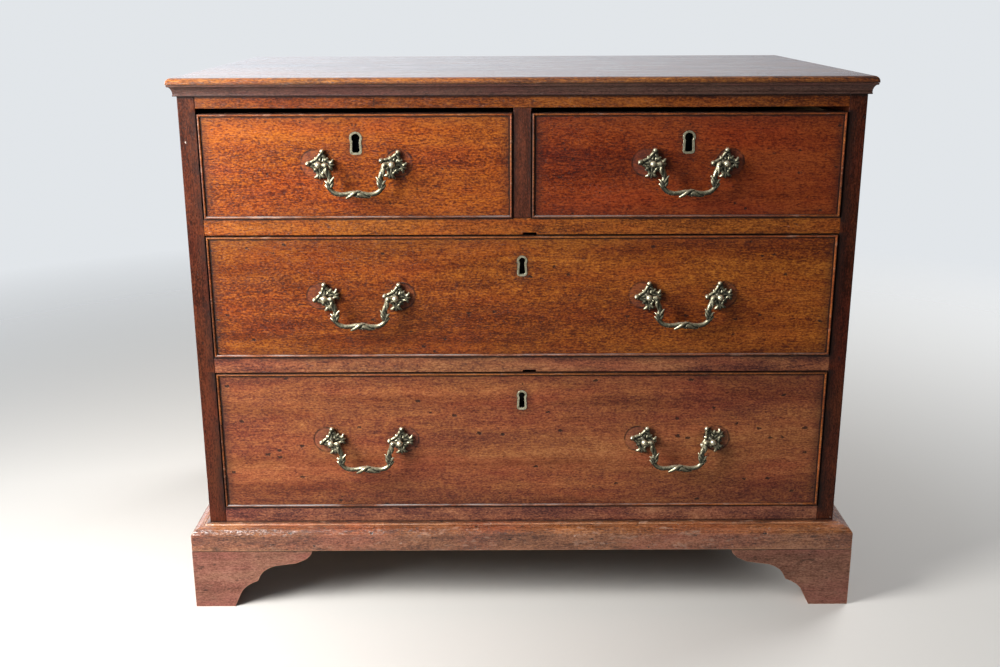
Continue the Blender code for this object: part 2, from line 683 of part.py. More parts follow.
def keyhole_outline(shape, rim):
    """A keyhole widened all round by rim: a round head on a slot with a flared foot."""
    radius, height, waist, foot = shape
    low = -height / 2 - rim
    head = height / 2 - radius
    radius, waist, foot = radius + rim, waist + rim, foot + rim
    corner = KEYHOLE_CORNER + rim / 2
    swing = math.acos(waist / radius)
    points = []
    for i in range(KEYHOLE_ARC_STEPS + 1):
        angle = -swing + (math.pi + 2 * swing) * i / KEYHOLE_ARC_STEPS
        points.append((radius * math.cos(angle), head + radius * math.sin(angle)))
    for hand in (-1, 1):
        turn = [(foot - corner * (1 - math.cos(a)), low + corner * (1 - math.sin(a)))
                for a in (0, math.pi / 4, math.pi / 2)]
        turn = turn if hand < 0 else list(reversed(turn))
        points += [(hand * x, z) for x, z in turn]
    return points


def drawer_front(drawer, parent):
    """The front board, rebated round its face for the cock bead."""
    half, height, keyhole = drawer["half"], drawer["height"], drawer["keyhole"]
    key_z = height - drawer["key_drop"]
    inset = BEAD_THICKNESS + GAP
    front = add(drawer["name"] + "_front",
                box((-half, half), (BEAD_DEPTH, FRONT_THICKNESS), (0, height)),
                FRONT_WOOD, parent)
    combine(front, box((inset - half, half - inset), (0, (BEAD_DEPTH + FRONT_THICKNESS) / 2),
                       (inset, height - inset)), "UNION")
    side_height = height - SIDE_DROP
    rows, pitch = tail_rows(side_height)
    sockets = [
        plate([tail_outline(middle, pitch, GAP, OVERRUN)], SIDE_THICKNESS + GAP + OVERRUN,
              SIDEWAYS, (hand * (half + (OVERRUN - SIDE_THICKNESS - GAP) / 2), 0, 0))
        for middle in rows for hand in (-1, 1)]
    combine(front, together(sockets))
    groove = half - SIDE_THICKNESS + GROOVE_DEPTH
    combine(front, box((-groove, groove),
                       (FRONT_THICKNESS - GROOVE_DEPTH, FRONT_THICKNESS + OVERRUN),
                       (DRAWER_BOTTOM_RISE,
                        DRAWER_BOTTOM_RISE + DRAWER_BOTTOM_THICKNESS + 2 * GAP)))
    reach = LOCK_WIDTH / 2 + GAP
    combine(front, box((-reach, reach),
                       (FRONT_THICKNESS - LOCK_DEPTH - GAP, FRONT_THICKNESS + OVERRUN),
                       (height - LOCK_HEIGHT - GAP, height + OVERRUN)))
    combine(front, plate([keyhole_outline(keyhole, LINER_WALL + GAP)], 2 * FRONT_THICKNESS,
                         UPRIGHT, (0, 0, key_z)))
    sunk = ESCUTCHEON_THICKNESS - ESCUTCHEON_PROUD + GAP
    combine(front, plate([keyhole_outline(keyhole, ESCUTCHEON_RIM + GAP)], 2 * sunk,
                         UPRIGHT, (0, 0, key_z)))
    handle_z = height / 2 + drawer["handle_rise"]
    holes = [
        moved(rod(POST_SHANK_RADIUS + GAP, -OVERRUN, FRONT_THICKNESS + OVERRUN,
                  Matrix.Rotation(-math.pi / 2, 4, "X")),
              Matrix.Translation((x + hand * HANDLE_CENTRES / 2, 0, handle_z)))
        for x in drawer["handles"] for hand in (-1, 1)]
    combine(front, together(holes))


def drawer_box(drawer, parent):
    """The dovetailed sides with the back between them, and the bottom in its grooves."""
    half, height = drawer["half"], drawer["height"]
    side_height = height - SIDE_DROP
    rows, pitch = tail_rows(side_height)
    outline = [(FRONT_THICKNESS + GAP, 0)]
    for middle in rows:
        outline += tail_outline(middle, pitch)
    outline += [(FRONT_THICKNESS + GAP, side_height), (DRAWER_DEPTH, side_height),
                (DRAWER_DEPTH, 0)]
    inner = half - SIDE_THICKNESS
    low = DRAWER_BOTTOM_RISE
    high = low + DRAWER_BOTTOM_THICKNESS + 2 * GAP
    reach = half - SIDE_THICKNESS / 2
    rear = DRAWER_DEPTH - SIDE_THICKNESS
    sides = add(drawer["name"] + "_sides_and_back", box(
        (-reach, reach), (rear, rear + SIDE_THICKNESS - GAP), (high, side_height - BACK_DROP)),
        OAK, parent)
    join_on(sides, [
        plate([outline], SIDE_THICKNESS, SIDEWAYS, (hand * (half - SIDE_THICKNESS / 2), 0, 0))
        for hand in (-1, 1)])
    combine(sides, mirror_pair(lambda: box(
        (inner - OVERRUN, inner + GROOVE_DEPTH),
        (FRONT_THICKNESS - TAIL_LENGTH - OVERRUN, DRAWER_DEPTH + OVERRUN), (low, high))))
    reach = inner + GROOVE_DEPTH - GAP
    add(drawer["name"] + "_bottom", box(
        (-reach, reach), (FRONT_THICKNESS - GROOVE_DEPTH + GAP, DRAWER_DEPTH),
        (low + GAP, high - GAP)), OAK, parent)


def cock_bead(drawer, parent):
    """The half-round bead let in round the front, mitred at its corners. Its section is
    spun in four steps into a small square frame, whose corners then move apart."""
    half, height = drawer["half"], drawer["height"]
    radius = BEAD_THICKNESS / 2
    section = [(0, BEAD_DEPTH - GAP), (BEAD_THICKNESS, BEAD_DEPTH - GAP)]
    for i in range(BEAD_ARC_STEPS + 1):
        angle = math.pi * i / BEAD_ARC_STEPS
        section.append((radius + radius * math.cos(angle),
                        radius - BEAD_PROUD - radius * math.sin(angle)))
    small = 2 * BEAD_THICKNESS
    bm = bmesh.new()
    verts = [bm.verts.new((small - inset, y, small - inset)) for inset, y in section]
    edges = [bm.edges.new((verts[i - 1], verts[i])) for i in range(len(verts))]
    bmesh.ops.spin(bm, geom=verts + edges, axis=(0, 1, 0), angle=2 * math.pi, steps=4,
                   use_merge=True)
    bmesh.ops.remove_doubles(bm, verts=bm.verts, dist=WELD)
    for vertex in bm.verts:
        vertex.co.x += math.copysign(half - small, vertex.co.x)
        vertex.co.z += math.copysign(height / 2 - small, vertex.co.z) + height / 2
    bmesh.ops.recalc_face_normals(bm, faces=bm.faces)
    add(drawer["name"] + "_cock_bead", bm, BEAD_WOOD, parent)


def lock(drawer, parent):
    """The hollow lock case with the liner and rim of its keyhole, and the bolt."""
    height, keyhole = drawer["height"], drawer["keyhole"]
    key_z = height - drawer["key_drop"]
    reach = LOCK_WIDTH / 2
    near = FRONT_THICKNESS - LOCK_DEPTH
    case = add(drawer["name"] + "_lock",
               box((-reach, reach), (near, FRONT_THICKNESS), (height - LOCK_HEIGHT, height)),
               BRASS, parent)
    inner = reach - LOCK_WALL
    combine(case, box((-inner, inner), (near + LOCK_WALL, FRONT_THICKNESS - LOCK_WALL),
                      (height - LOCK_HEIGHT + LOCK_WALL, height - LOCK_WALL)))
    slot = BOLT_WIDTH / 2 + GAP
    slot_y = BOLT_THICKNESS / 2 + GAP
    combine(case, box((BOLT_OFFSET - slot, BOLT_OFFSET + slot),
                      (LOCK_Y - slot_y, LOCK_Y + slot_y),
                      (height - 2 * LOCK_WALL, height + OVERRUN)))
    liner = near + LOCK_WALL / 2
    join_on(case, [plate([keyhole_outline(keyhole, LINER_WALL)], liner, UPRIGHT,
                         (0, liner / 2, key_z))])
    join_on(case, [plate([keyhole_outline(keyhole, ESCUTCHEON_RIM)], ESCUTCHEON_THICKNESS,
                         UPRIGHT, (0, ESCUTCHEON_THICKNESS / 2 - ESCUTCHEON_PROUD, key_z))])
    through = near + LOCK_WALL + OVERRUN / 2
    combine(case, plate([keyhole_outline(keyhole, 0)], through + OVERRUN / 2, UPRIGHT,
                        (0, through / 2 - OVERRUN / 4, key_z)))
    head = keyhole[1] / 2 - keyhole[0]
    key_pin = moved(rod(LOCK_PIN_RADIUS, near, FRONT_THICKNESS - LOCK_WALL / 2,
                        Matrix.Rotation(-math.pi / 2, 4, "X"), 8),
                    Matrix.Translation((0, 0, key_z + head)))
    join_on(case, [key_pin])

    half = BOLT_WIDTH / 2
    foot = BOLT_FOOT_WIDTH / 2
    outline = [(-half, -GAP), (-half, -BOLT_STEM), (-foot, -BOLT_STEM),
               (-foot, -BOLT_STEM - BOLT_FOOT_HEIGHT), (foot, -BOLT_STEM - BOLT_FOOT_HEIGHT),
               (foot, -BOLT_STEM), (half, -BOLT_STEM), (half, -GAP)]
    add(drawer["name"] + "_lock_bolt", plate([outline], BOLT_THICKNESS), LOCK_IRON, parent,
        (BOLT_OFFSET, LOCK_Y, height))


def rose():
    """The outline of a leafy four-pointed backplate, and its thickness."""
    count = 4 * len(ROSE_LOBE_SHARES)
    outline = []
    for i in range(count):
        angle = 2 * math.pi * i / count
        radius = ROSE_RADIUS * ROSE_LOBE_SHARES[i % len(ROSE_LOBE_SHARES)]
        outline.append((radius * math.cos(angle), radius * math.sin(angle)))
    return plate([outline], ROSE_THICKNESS, UPRIGHT, (0, -ROSE_THICKNESS / 2 - GAP, 0))


def post():
    """A turned post: ball head, neck and collar in front, shank and round nut behind."""
    base = GAP + ROSE_THICKNESS / 2
    nut = -FRONT_THICKNESS - GAP
    neck_angle = math.pi - math.asin(POST_NECK_RADIUS / POST_HEAD_RADIUS)
    profile = []
    for i in range(HEAD_ARC_STEPS + 1):
        angle = neck_angle * i / HEAD_ARC_STEPS
        profile.append((POST_HEAD_RADIUS * math.sin(angle),
                        PIVOT_STANDOFF + POST_HEAD_RADIUS * math.cos(angle)))
    profile += [(POST_NECK_RADIUS, ROSE_THICKNESS + 2 * POST_COLLAR_HEIGHT),
                (POST_COLLAR_RADIUS, ROSE_THICKNESS + POST_COLLAR_HEIGHT),
                (POST_COLLAR_RADIUS, base), (POST_SHANK_RADIUS, base),
                (POST_SHANK_RADIUS, nut), (NUT_RADIUS, nut),
                (NUT_RADIUS, nut - NUT_THICKNESS), (POST_SHANK_RADIUS, nut - NUT_THICKNESS),
                (POST_SHANK_RADIUS, nut - POST_TAIL), (0, nut - POST_TAIL)]
    mesh = bpy.data.meshes.new("profile")
    mesh.from_pydata([(r, 0, z) for r, z in profile],
                     [(i, i + 1) for i in range(len(profile) - 1)], [])
    turned = bpy.data.objects.new("profile", mesh)
    bpy.context.scene.collection.objects.link(turned)
    screw = turned.modifiers.new("turn", "SCREW")
    screw.steps = POST_STEPS
    screw.render_steps = POST_STEPS
    screw.use_merge_vertices = True
    screw.merge_threshold = WELD
    return moved(evaluated(turned), UPRIGHT)


def handle_mounts(drawer, parent):
    """The posts, each joined to its rose and drilled on the inner side for the bail."""
    handle_z = drawer["height"] / 2 + drawer["handle_rise"]
    for x in drawer["handles"]:
        for hand in (-1, 1):
            place = Matrix.Translation((x + hand * HANDLE_CENTRES / 2, 0, handle_z))
            name = drawer["name"] + side_name(x) + "_handle_post" + side_name(hand)
            mount = add(name, moved(post(), place), BRASS, parent, smooth=True)
            join_on(mount, [moved(rose(), place)])
            drill = rod(BAIL_PIN_RADIUS + BAIL_PIN_CLEARANCE, -POST_HEAD_RADIUS / 3,
                        POST_HEAD_RADIUS + OVERRUN,
                        Matrix.Rotation(-hand * math.pi / 2, 4, "Y"), 8)
            combine(mount, moved(drill, place @ Matrix.Translation((0, -PIVOT_STANDOFF, 0))))


def side_name(x):
    """The ending of a piece's name for the side it is on, none for the middle."""
    return "" if x == 0 else ("_left" if x < 0 else "_right")


def bail(name, parent, location):
    """A swan-neck bail whose end pins turn in the heads of its two posts."""
    head_side = HANDLE_CENTRES / 2 - POST_HEAD_RADIUS
    knob = head_side - RUNNING_GAP
    half = [
        (HANDLE_CENTRES / 2 - BAIL_PIN_SEAT, 0, BAIL_PIN_RADIUS),
        (knob + GAP / 2, 0, BAIL_PIN_RADIUS)]
    half += [(knob + u * BAIL_KNOB_RADIUS, v * BAIL_KNOB_RADIUS, s * BAIL_KNOB_RADIUS)
             for u, v, s in BAIL_KNOB_SHARES]
    half += [(u * BAIL_HALF_SPAN, v * BAIL_DROP, BAIL_RADIUS) for u, v in BAIL_ARM_SHARES]
    half += [(u * BAIL_HALF_SPAN, v * BAIL_DROP,
              BAIL_RADIUS + s * (BAIL_SWELL_RADIUS - BAIL_RADIUS))
             for u, v, s in BAIL_SWELL_SHARES]
    points = half + [(-x, z, radius) for x, z, radius in reversed(half)]
    curve = bpy.data.curves.new(name, "CURVE")
    curve.dimensions = "3D"
    curve.bevel_depth = BAIL_RADIUS
    curve.bevel_resolution = 2
    curve.use_fill_caps = True
    spline = curve.splines.new("POLY")
    spline.points.add(len(points) - 1)
    for point, (x, z, radius) in zip(spline.points, points):
        point.co = (x, 0, z, 1)
        point.radius = radius / BAIL_RADIUS
    curve.materials.append(BRASS)
    piece = bpy.data.objects.new(name, curve)
    piece.parent = parent
    piece.location = location
    chest.objects.link(piece)


def build_drawer(drawer):
    """One drawer, all its pieces under an empty at the middle of its lower front edge."""
    parent = bpy.data.objects.new(drawer["name"] + "_drawer", None)
    parent.location = (drawer["x"], FRONT_Y, drawer["z"])
    chest.objects.link(parent)
    drawer_front(drawer, parent)
    drawer_box(drawer, parent)
    cock_bead(drawer, parent)
    lock(drawer, parent)
    handle_mounts(drawer, parent)
    handle_z = drawer["height"] / 2 + drawer["handle_rise"]
    for x in drawer["handles"]:
        bail(drawer["name"] + side_name(x) + "_bail", parent,
             (x, -PIVOT_STANDOFF, handle_z))


side_panels()
rails()
boards()
top()
plinth()
feet()
for drawer in DRAWERS:
    build_drawer(drawer)
bpy.context.view_layer.update()
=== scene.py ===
"""The looks of a Georgian mahogany chest of drawers: waxed and worn wood, cast brass
handles, a plain pale floor and soft light from the left.

Metres, +Z up, the fronts facing -Y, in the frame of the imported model."""

import json
import math

import bmesh
import bpy
from mathutils import Matrix, Vector


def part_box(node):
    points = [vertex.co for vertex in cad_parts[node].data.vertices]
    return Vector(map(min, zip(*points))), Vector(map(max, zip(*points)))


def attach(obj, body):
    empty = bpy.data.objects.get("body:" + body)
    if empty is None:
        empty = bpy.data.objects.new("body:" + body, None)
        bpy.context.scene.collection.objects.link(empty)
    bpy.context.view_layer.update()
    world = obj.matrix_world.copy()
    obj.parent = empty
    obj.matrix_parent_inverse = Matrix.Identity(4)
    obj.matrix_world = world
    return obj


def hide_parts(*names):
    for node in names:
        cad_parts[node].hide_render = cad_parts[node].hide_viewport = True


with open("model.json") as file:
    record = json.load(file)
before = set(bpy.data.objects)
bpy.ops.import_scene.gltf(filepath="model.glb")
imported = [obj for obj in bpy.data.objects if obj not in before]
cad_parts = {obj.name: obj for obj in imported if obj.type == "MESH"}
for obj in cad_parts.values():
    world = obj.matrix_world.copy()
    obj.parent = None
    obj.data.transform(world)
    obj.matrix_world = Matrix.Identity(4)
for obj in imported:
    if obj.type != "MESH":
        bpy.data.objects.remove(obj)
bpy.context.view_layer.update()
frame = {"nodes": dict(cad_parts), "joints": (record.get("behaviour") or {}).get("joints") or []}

DRAWERS = ("short_left", "short_right", "upper_long", "lower_long")

# Camera, fitted to the straight edges of the chest in the photograph: the focal length is
# a share of the picture's width, and the angles are in degrees
FOCAL_SHARE = 1.15347
CAMERA_PLACE = (-0.0303, -1.7120, 0.8113)
CAMERA_PITCH = 16.210
CAMERA_YAW = -0.054
CAMERA_ROLL = -0.206
SENSOR_WIDTH = 36.0

# Light and surroundings
KEY_PLACE = (-1.02, -0.76, 0.92)
KEY_AIM = (-0.22, -0.25, 0.36)
KEY_SIZE = (0.6, 0.9)
KEY_POWER = 37.0
KEY_COLOUR = (1.0, 0.985, 0.96)
SIDE_PLACE = (2.0, 1.7, 1.8)
SIDE_AIM = (0.3, 0.2, 0.4)
SIDE_SIZE = (1.6, 1.6)
SIDE_POWER = 78.0
FRONT_PLACE = (-0.6, -3.2, 2.2)
FRONT_SIZE = (2.4, 1.6)
FRONT_POWER = 5.0
SKY_COLOUR = (0.90, 0.95, 1.0)
SKY_STRENGTH = 0.125
PALE_COLOUR = (0.76, 0.79, 0.82)
# What reflections see behind the chest and in front of it, where one turns into the
# other, and how both fall off from left to right
BACK_SHINE = (0.92, 0.98, 1.06)
FRONT_SHINE = (0.13, 0.135, 0.14)
SHINE_TURN = (-0.35, 0.55)
SHINE_FALL_REACH = 0.45
SHINE_FALL_SHARES = (1.42, 0.20)
# The floor as cameras see it and as light does, and where it fades, in shares of its radius
FLOOR_COLOUR = (0.64, 0.625, 0.60)
FLOOR_BOUNCE = (0.30, 0.29, 0.275)
FLOOR_RADIUS = 4.0
FLOOR_FADE_SHARES = (0.17, 0.60)

# Handles
POST_SPACING = 0.092
BALL_RADIUS = 0.0042
POST_NECK = 0.0024
POST_SHANK = 0.0025
NUT_RADIUS = 0.005
NUT_GAP = 0.0003
# A backplate's points, (x, z) from its post, how far out they are on the whole, which of
# them end in leaves, and the balls on the others
ROSE_TIPS = ((0.0172, -0.0016), (0.0036, 0.0148), (-0.0142, 0.0), (0.0, -0.0186))
ROSE_REACH = 0.016
LEAFY_TIPS = (0, 3)
TIP_BALL = 0.0036
LEAF_TURNS = (-0.36, 0.0, 0.36)
# The side that each curl of a backplate lies on, and how far it leans that way
CURL_LEANS = ((-1, 0.30), (1, 0.26))
# How far each backplate is turned, left and right, in degrees anticlockwise
ROSE_TURNS = {
    "short_left": (0, -14),
    "short_right": (-1, 4),
    "upper_long_left": (18, -1),
    "upper_long_right": (8, 9),
    "lower_long_left": (13, 6),
    "lower_long_right": (-6, 38),
}

# Fineness of the cast and the turned metal, and the reach within which points are joined
CAST_GRAIN = 0.00038
WELD_REACH = 0.00001
TURNED_STEPS = 28
SHARP_ANGLE = 40

# How far each keyhole lies under the top of its front, and the pin hole over it
KEY_DROPS = {"short_left": 0.0367, "short_right": 0.0367, "upper_long": 0.0395,
             "lower_long": 0.0380}
PIN_HOLE_RISE = 0.0225

# The round marks of older handles, and how far outside its post each lies
RING_RADIUS = 0.0172
RING_SHIFT = 0.0075

# Worn edges of the case, the feet and the locks' rims
EDGE_WEAR = 0.0007
FOOT_EDGE_WEAR = 0.0014
RIM_WEAR = 0.0005
WORN_ANGLE = 40

# The upright crack in the top rail's left half
CRACK_X = -0.1835


class Nodes:
    """A material or world and short calls that build its node tree."""

    def __init__(self, block):
        block.use_nodes = True
        self.block = block
        self.tree = block.node_tree
        self.shader = self.tree.nodes.get("Principled BSDF")

    def put(self, socket, value):
        """Link a socket to another, or set its value."""
        if isinstance(value, bpy.types.NodeSocket):
            self.tree.links.new(value, socket)
        elif hasattr(value, "__len__") and len(value) == 3 and socket.type == "RGBA":
            socket.default_value = (*value, 1.0)
        else:
            socket.default_value = value

    def add(self, kind, inputs, **settings):
        node = self.tree.nodes.new(kind)
        for key, value in settings.items():
            setattr(node, key, value)
        for key, value in inputs.items():
            self.put(node.inputs[key], value)
        return node

    def math(self, operation, a, b=0.0, clamp=False):
        return self.add("ShaderNodeMath", {0: a, 1: b}, operation=operation,
                        use_clamp=clamp).outputs[0]

    def vector(self, operation, a, b=(0, 0, 0)):
        node = self.add("ShaderNodeVectorMath", {0: a, 1: b}, operation=operation)
        scalar = operation in ("LENGTH", "DOT_PRODUCT")
        return node.outputs["Value" if scalar else "Vector"]

    def range(self, value, low, high, to_low=0.0, to_high=1.0):
        """A value brought from one range to another, held at its ends."""
        return self.add("ShaderNodeMapRange", {
            "Value": value, "From Min": low, "From Max": high, "To Min": to_low,
            "To Max": to_high}).outputs["Result"]

    def noise(self, place, scale, detail=2.0, roughness=0.5):
        """Noise with its own scale along each axis, per metre."""
        return self.add("ShaderNodeTexNoise", {
            "Vector": self.vector("MULTIPLY", place, scale), "Scale": 1.0, "Detail": detail,
            "Roughness": roughness}).outputs["Fac"]

    def ramp(self, factor, stops):
        """A colour ramp from (position, colour) stops."""
        node = self.add("ShaderNodeValToRGB", {"Fac": factor})
        elements = node.color_ramp.elements
        while len(elements) < len(stops):
            elements.new(0.5)
        for element, (position, colour) in zip(elements, stops):
            element.position = position
            element.color = (*colour, 1.0)
        return node.outputs["Color"]

    def mix(self, factor, a, b, blend="MIX"):
        node = self.add("ShaderNodeMix", {0: factor, 6: a, 7: b}, data_type="RGBA",
                        blend_type=blend)
        return node.outputs[2]

    def tint(self, factor, colour, tint):
        """A colour, multiplied by a tint as far as the factor says."""
        return self.mix(factor, colour, self.mix(1.0, colour, tint, "MULTIPLY"))

    def bump(self, height, distance, normal=None):
        """Relief of a depth in metres, laid over another where one is given."""
        inputs = {"Height": height, "Distance": distance}
        if normal:
            inputs["Normal"] = normal
        return self.add("ShaderNodeBump", inputs).outputs["Normal"]

    def facing(self):
        """The direction that the surface faces, without its relief."""
        return self.tree.nodes.new("ShaderNodeNewGeometry").outputs["Normal"]

    def place(self):
        """A point's place in the frame, which travels with its piece."""
        return self.tree.nodes.new("ShaderNodeTexCoord").outputs["Object"]

    def split(self, place):
        return self.add("ShaderNodeSeparateXYZ", {0: place}).outputs

    def join(self, x, y, z):
        return self.add("ShaderNodeCombineXYZ", {0: x, 1: y, 2: z}).outputs[0]


# Wood

CASE_LOW, CASE_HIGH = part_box("side_panel_left")[0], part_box("side_panel_right")[1]
HALF_CASE = CASE_HIGH.x
FRONT_Y = CASE_LOW.y

# Tones of the wood, dark to light
FRONT_TONES = ((0.070, 0.012, 0.003), (0.185, 0.036, 0.006), (0.33, 0.080, 0.009),
               (0.50, 0.145, 0.018))
CASE_TONES = ((0.036, 0.014, 0.010), (0.080, 0.029, 0.019), (0.14, 0.050, 0.030),
              (0.21, 0.080, 0.045))
RAIL_TONES = ((0.060, 0.013, 0.004), (0.16, 0.038, 0.008), (0.28, 0.074, 0.012),
              (0.42, 0.130, 0.022))
TOP_TONES = ((0.052, 0.018, 0.008), (0.16, 0.048, 0.014), (0.34, 0.112, 0.022),
             (0.56, 0.215, 0.042))
DARK_TONES = ((0.030, 0.016, 0.012), (0.070, 0.036, 0.027), (0.11, 0.056, 0.041),
              (0.15, 0.076, 0.055))
PLINTH_TONES = ((0.080, 0.026, 0.013), (0.19, 0.070, 0.034), (0.31, 0.122, 0.057),
                (0.43, 0.190, 0.098))
FOOT_TONES = ((0.098, 0.038, 0.024), (0.22, 0.095, 0.060), (0.33, 0.151, 0.097),
              (0.44, 0.220, 0.150))
BEAD_TONES = ((0.040, 0.012, 0.005), (0.13, 0.034, 0.008), (0.28, 0.082, 0.015),
              (0.46, 0.16, 0.035))
OAK_TONES = ((0.20, 0.12, 0.06), (0.29, 0.185, 0.10), (0.36, 0.24, 0.14),
             (0.44, 0.31, 0.19))
# Where the tones lie on the scale that the grain's noises add up to
TONE_STOPS = (0.12, 0.38, 0.60, 0.88)

# What lies on the wood or shows where it is worn; the grime's colour also serves for painted
# shade, and the last colour is a pale painted highlight
GRIME_AND_SHADE = (0.014, 0.008, 0.007)
OLD_WAX = (0.30, 0.115, 0.085)
WORN = (0.44, 0.27, 0.19)
RUBBED = (0.72, 0.40, 0.22)
CHIP = (0.66, 0.55, 0.47)
PAINTED_HIGHLIGHT = (0.40, 0.385, 0.38)

# Tints that multiply the wood's colour
RUDDY_TINT = (0.94, 0.66, 0.80)
LEDGE_TINT = (0.98, 0.88, 0.62)
PORE_TINT = (0.34, 0.18, 0.13)

# Scales of the grain's noises along the grain and across it, per metre
WANDER_SCALE = (2.2, 9, 9)
BROAD_SCALE = (1.3, 13, 13)
STREAK_SCALE = (7, 90, 90)
FLECK_SCALE = (300, 560, 560)
FIBRE_SCALE = (70, 640, 640)
MOTTLE_SCALE = (60, 18, 60)
PATCH_SCALE = (16, 60, 60)
RUDDY_SCALE = (6, 22, 22)
PORE_SCALE = (230, 1300, 1300)
SMOKE_SCALE = (2.4, 34, 34)
WAVE_SCALE = (40, 90, 90)

# How far the grain wanders, how wide a rubbed arris is and how ragged a knock's edge is
WANDER_REACH = 0.026
ARRIS_REACH = 0.0016
RAGGED_REACH = 0.0042

# How far each step of a seed moves a piece through the noises, and the drawers' seeds
SEED_STRIDE = (3.7, 1.3, 2.1)
FIRST_DRAWER_SEED = 21
SEEDS_PER_DRAWER = 5

# Spots on the wood: the spacing of their cells, the share of cells with one, the smallest
# and the largest radius, and a shift of the pattern
INK_SPOTS = (0.0095, 0.12, (0.0008, 0.0024), 0)
FINE_SPOTS = (0.0055, 0.12, (0.0005, 0.0010), 5)
CHIP_SPOTS = (0.0095, 0.06, (0.0004, 0.0011), 9)

# How each front and rail differs in tone from the rest
TINTS = {
    "short_left": (0.94, 0.92, 0.80),
    "short_right": (0.64, 0.46, 0.70),
    "upper_long": (0.96, 1.10, 1.2),
    "lower_long": (0.98, 1.36, 4.0),
    "side_panel_left": (0.58, 0.41, 0.29),
    "side_panel_right": (0.58, 0.41, 0.29),
    "drawer_divider": (0.86, 0.62, 0.46),
    "top_rail": (0.72, 0.70, 0.65),
    "upper_rail": (1.0, 1.05, 0.9),
    "lower_rail": (1.03, 1.48, 3.7),
    "bottom_rail": (1.08, 1.50, 4.6),
}

# How strongly each front's flecks and fibres show
CRISPNESS = {"short_left": 1.7, "short_right": 1.5, "upper_long": 1.4, "lower_long": 1.0}
# How strong the smoky bands of each front are
SMOKE = {"short_left": 0.15, "short_right": 0.35, "upper_long": 0.45, "lower_long": 0.55}


def tinted(tones, name):
    """Tones with a piece's own tint."""
    tint = TINTS.get(name, (1.0, 1.0, 1.0))
    return [tuple(value * share for value, share in zip(tone, tint)) for tone in tones]


def along_grain(n, grain):
    """The place with its first axis along the grain. A mitred frame's grain turns with
    it at the mitre."""
    x, y, z = n.split(n.place())
    if grain == "X":
        return n.join(x, y, z)
    if grain == "Y":
        return n.join(y, x, z)
    if grain == "Z":
        return n.join(z, x, y)
    sideways = n.math("SUBTRACT", n.math("ABSOLUTE", x), HALF_CASE)
    forwards = n.math("SUBTRACT", FRONT_Y, y)
    on_side = n.math("GREATER_THAN", sideways, forwards)
    turned = n.math("MULTIPLY", n.math("SUBTRACT", y, x), on_side)
    return n.join(n.math("ADD", x, turned), n.math("SUBTRACT", y, turned), z)


def grain_tone(n, place, grained, crisp, patchy):
    """The wood's tone from 0 to 1, of figure, streaks, flecks, fibres and mottle along the
    grain and uneven patches; and the flecks alone."""
    fleck = n.noise(grained, FLECK_SCALE, 2.0, 0.6)
    parts = (
        (n.noise(grained, BROAD_SCALE, 3.0), 1.0),
        (n.noise(grained, STREAK_SCALE, 4.0, 0.6), 0.42),
        (fleck, crisp),
        (n.noise(grained, FIBRE_SCALE, 2.0, 0.6), 0.60 * crisp),
        (n.noise(grained, MOTTLE_SCALE, 2.0), 0.26),
        (n.noise(place, PATCH_SCALE, 3.0, 0.6), patchy),
    )
    tone = 0.5
    for part, weight in parts:
        tone = n.math("ADD", n.math("MULTIPLY", n.math("SUBTRACT", part, 0.5), weight), tone)
    return n.math("ADD", tone, 0.0, clamp=True), fleck


def dots(n, place, spacing, share, radii, offset):
    """Ragged knocks and ink spots: one to a cell of that spacing, in a share of the
    cells that changes from place to place, with radii in metres from the first to the
    second."""
    place = n.vector("ADD", place, (offset,) * 3)
    share = n.range(n.noise(place, (9, 16, 16), 2.0), 0.40, 0.62, 0.3 * share, 2.2 * share)
    ragged = n.add("ShaderNodeTexNoise", {"Vector": place, "Scale": 420.0, "Detail": 2.0})
    place = n.vector("MULTIPLY", place, (0.6, 1.0, 1.0))
    shift = n.vector("MULTIPLY", ragged.outputs["Color"], (RAGGED_REACH,) * 3)
    cells = n.add("ShaderNodeTexVoronoi", {"Vector": n.vector("ADD", place, shift),
                                           "Scale": 1 / spacing})
    pick, size, _ = n.split(cells.outputs["Color"])
    radius = n.range(size, 0.0, 1.0, *[r / spacing for r in radii])
    edge = n.math("SUBTRACT", radius, cells.outputs["Distance"])
    spot = n.range(edge, 0.0, 0.0004 / spacing)
    return n.math("MULTIPLY", spot, n.math("LESS_THAN", pick, share))


def rubbed_arris(n, place, strength):
    """Where a sharp edge is rubbed, found by how far a rounding would turn it."""
    softened = n.add("ShaderNodeBevel", {"Radius": ARRIS_REACH}, samples=4).outputs[0]
    turn = n.math("SUBTRACT", 1.0, n.vector("DOT_PRODUCT", n.facing(), softened))
    patches = n.range(n.noise(place, (24, 90, 90), 3.0, 0.6), 0.34, 0.60, 0.15, 1.0)
    return n.math("MULTIPLY", n.range(turn, 0.004, 0.05, 0.0, strength), patches)


def worn_colour(n, place, colour, strength):
    """A colour with pale places, worn through to a strength, and black marks."""
    rub = n.math("ADD", n.noise(place, (60, 150, 150), 3.0, 0.7),
                 n.math("MULTIPLY", n.noise(place, (7, 12, 12), 2.0), 0.30))
    colour = n.mix(n.math("MULTIPLY", n.range(rub, 0.75, 0.84), strength), colour, WORN)
    black = n.noise(place, (40, 110, 110), 3.0, 0.7)
    return n.mix(n.math("MULTIPLY", n.range(black, 0.61, 0.70), 0.6), colour, GRIME_AND_SHADE)


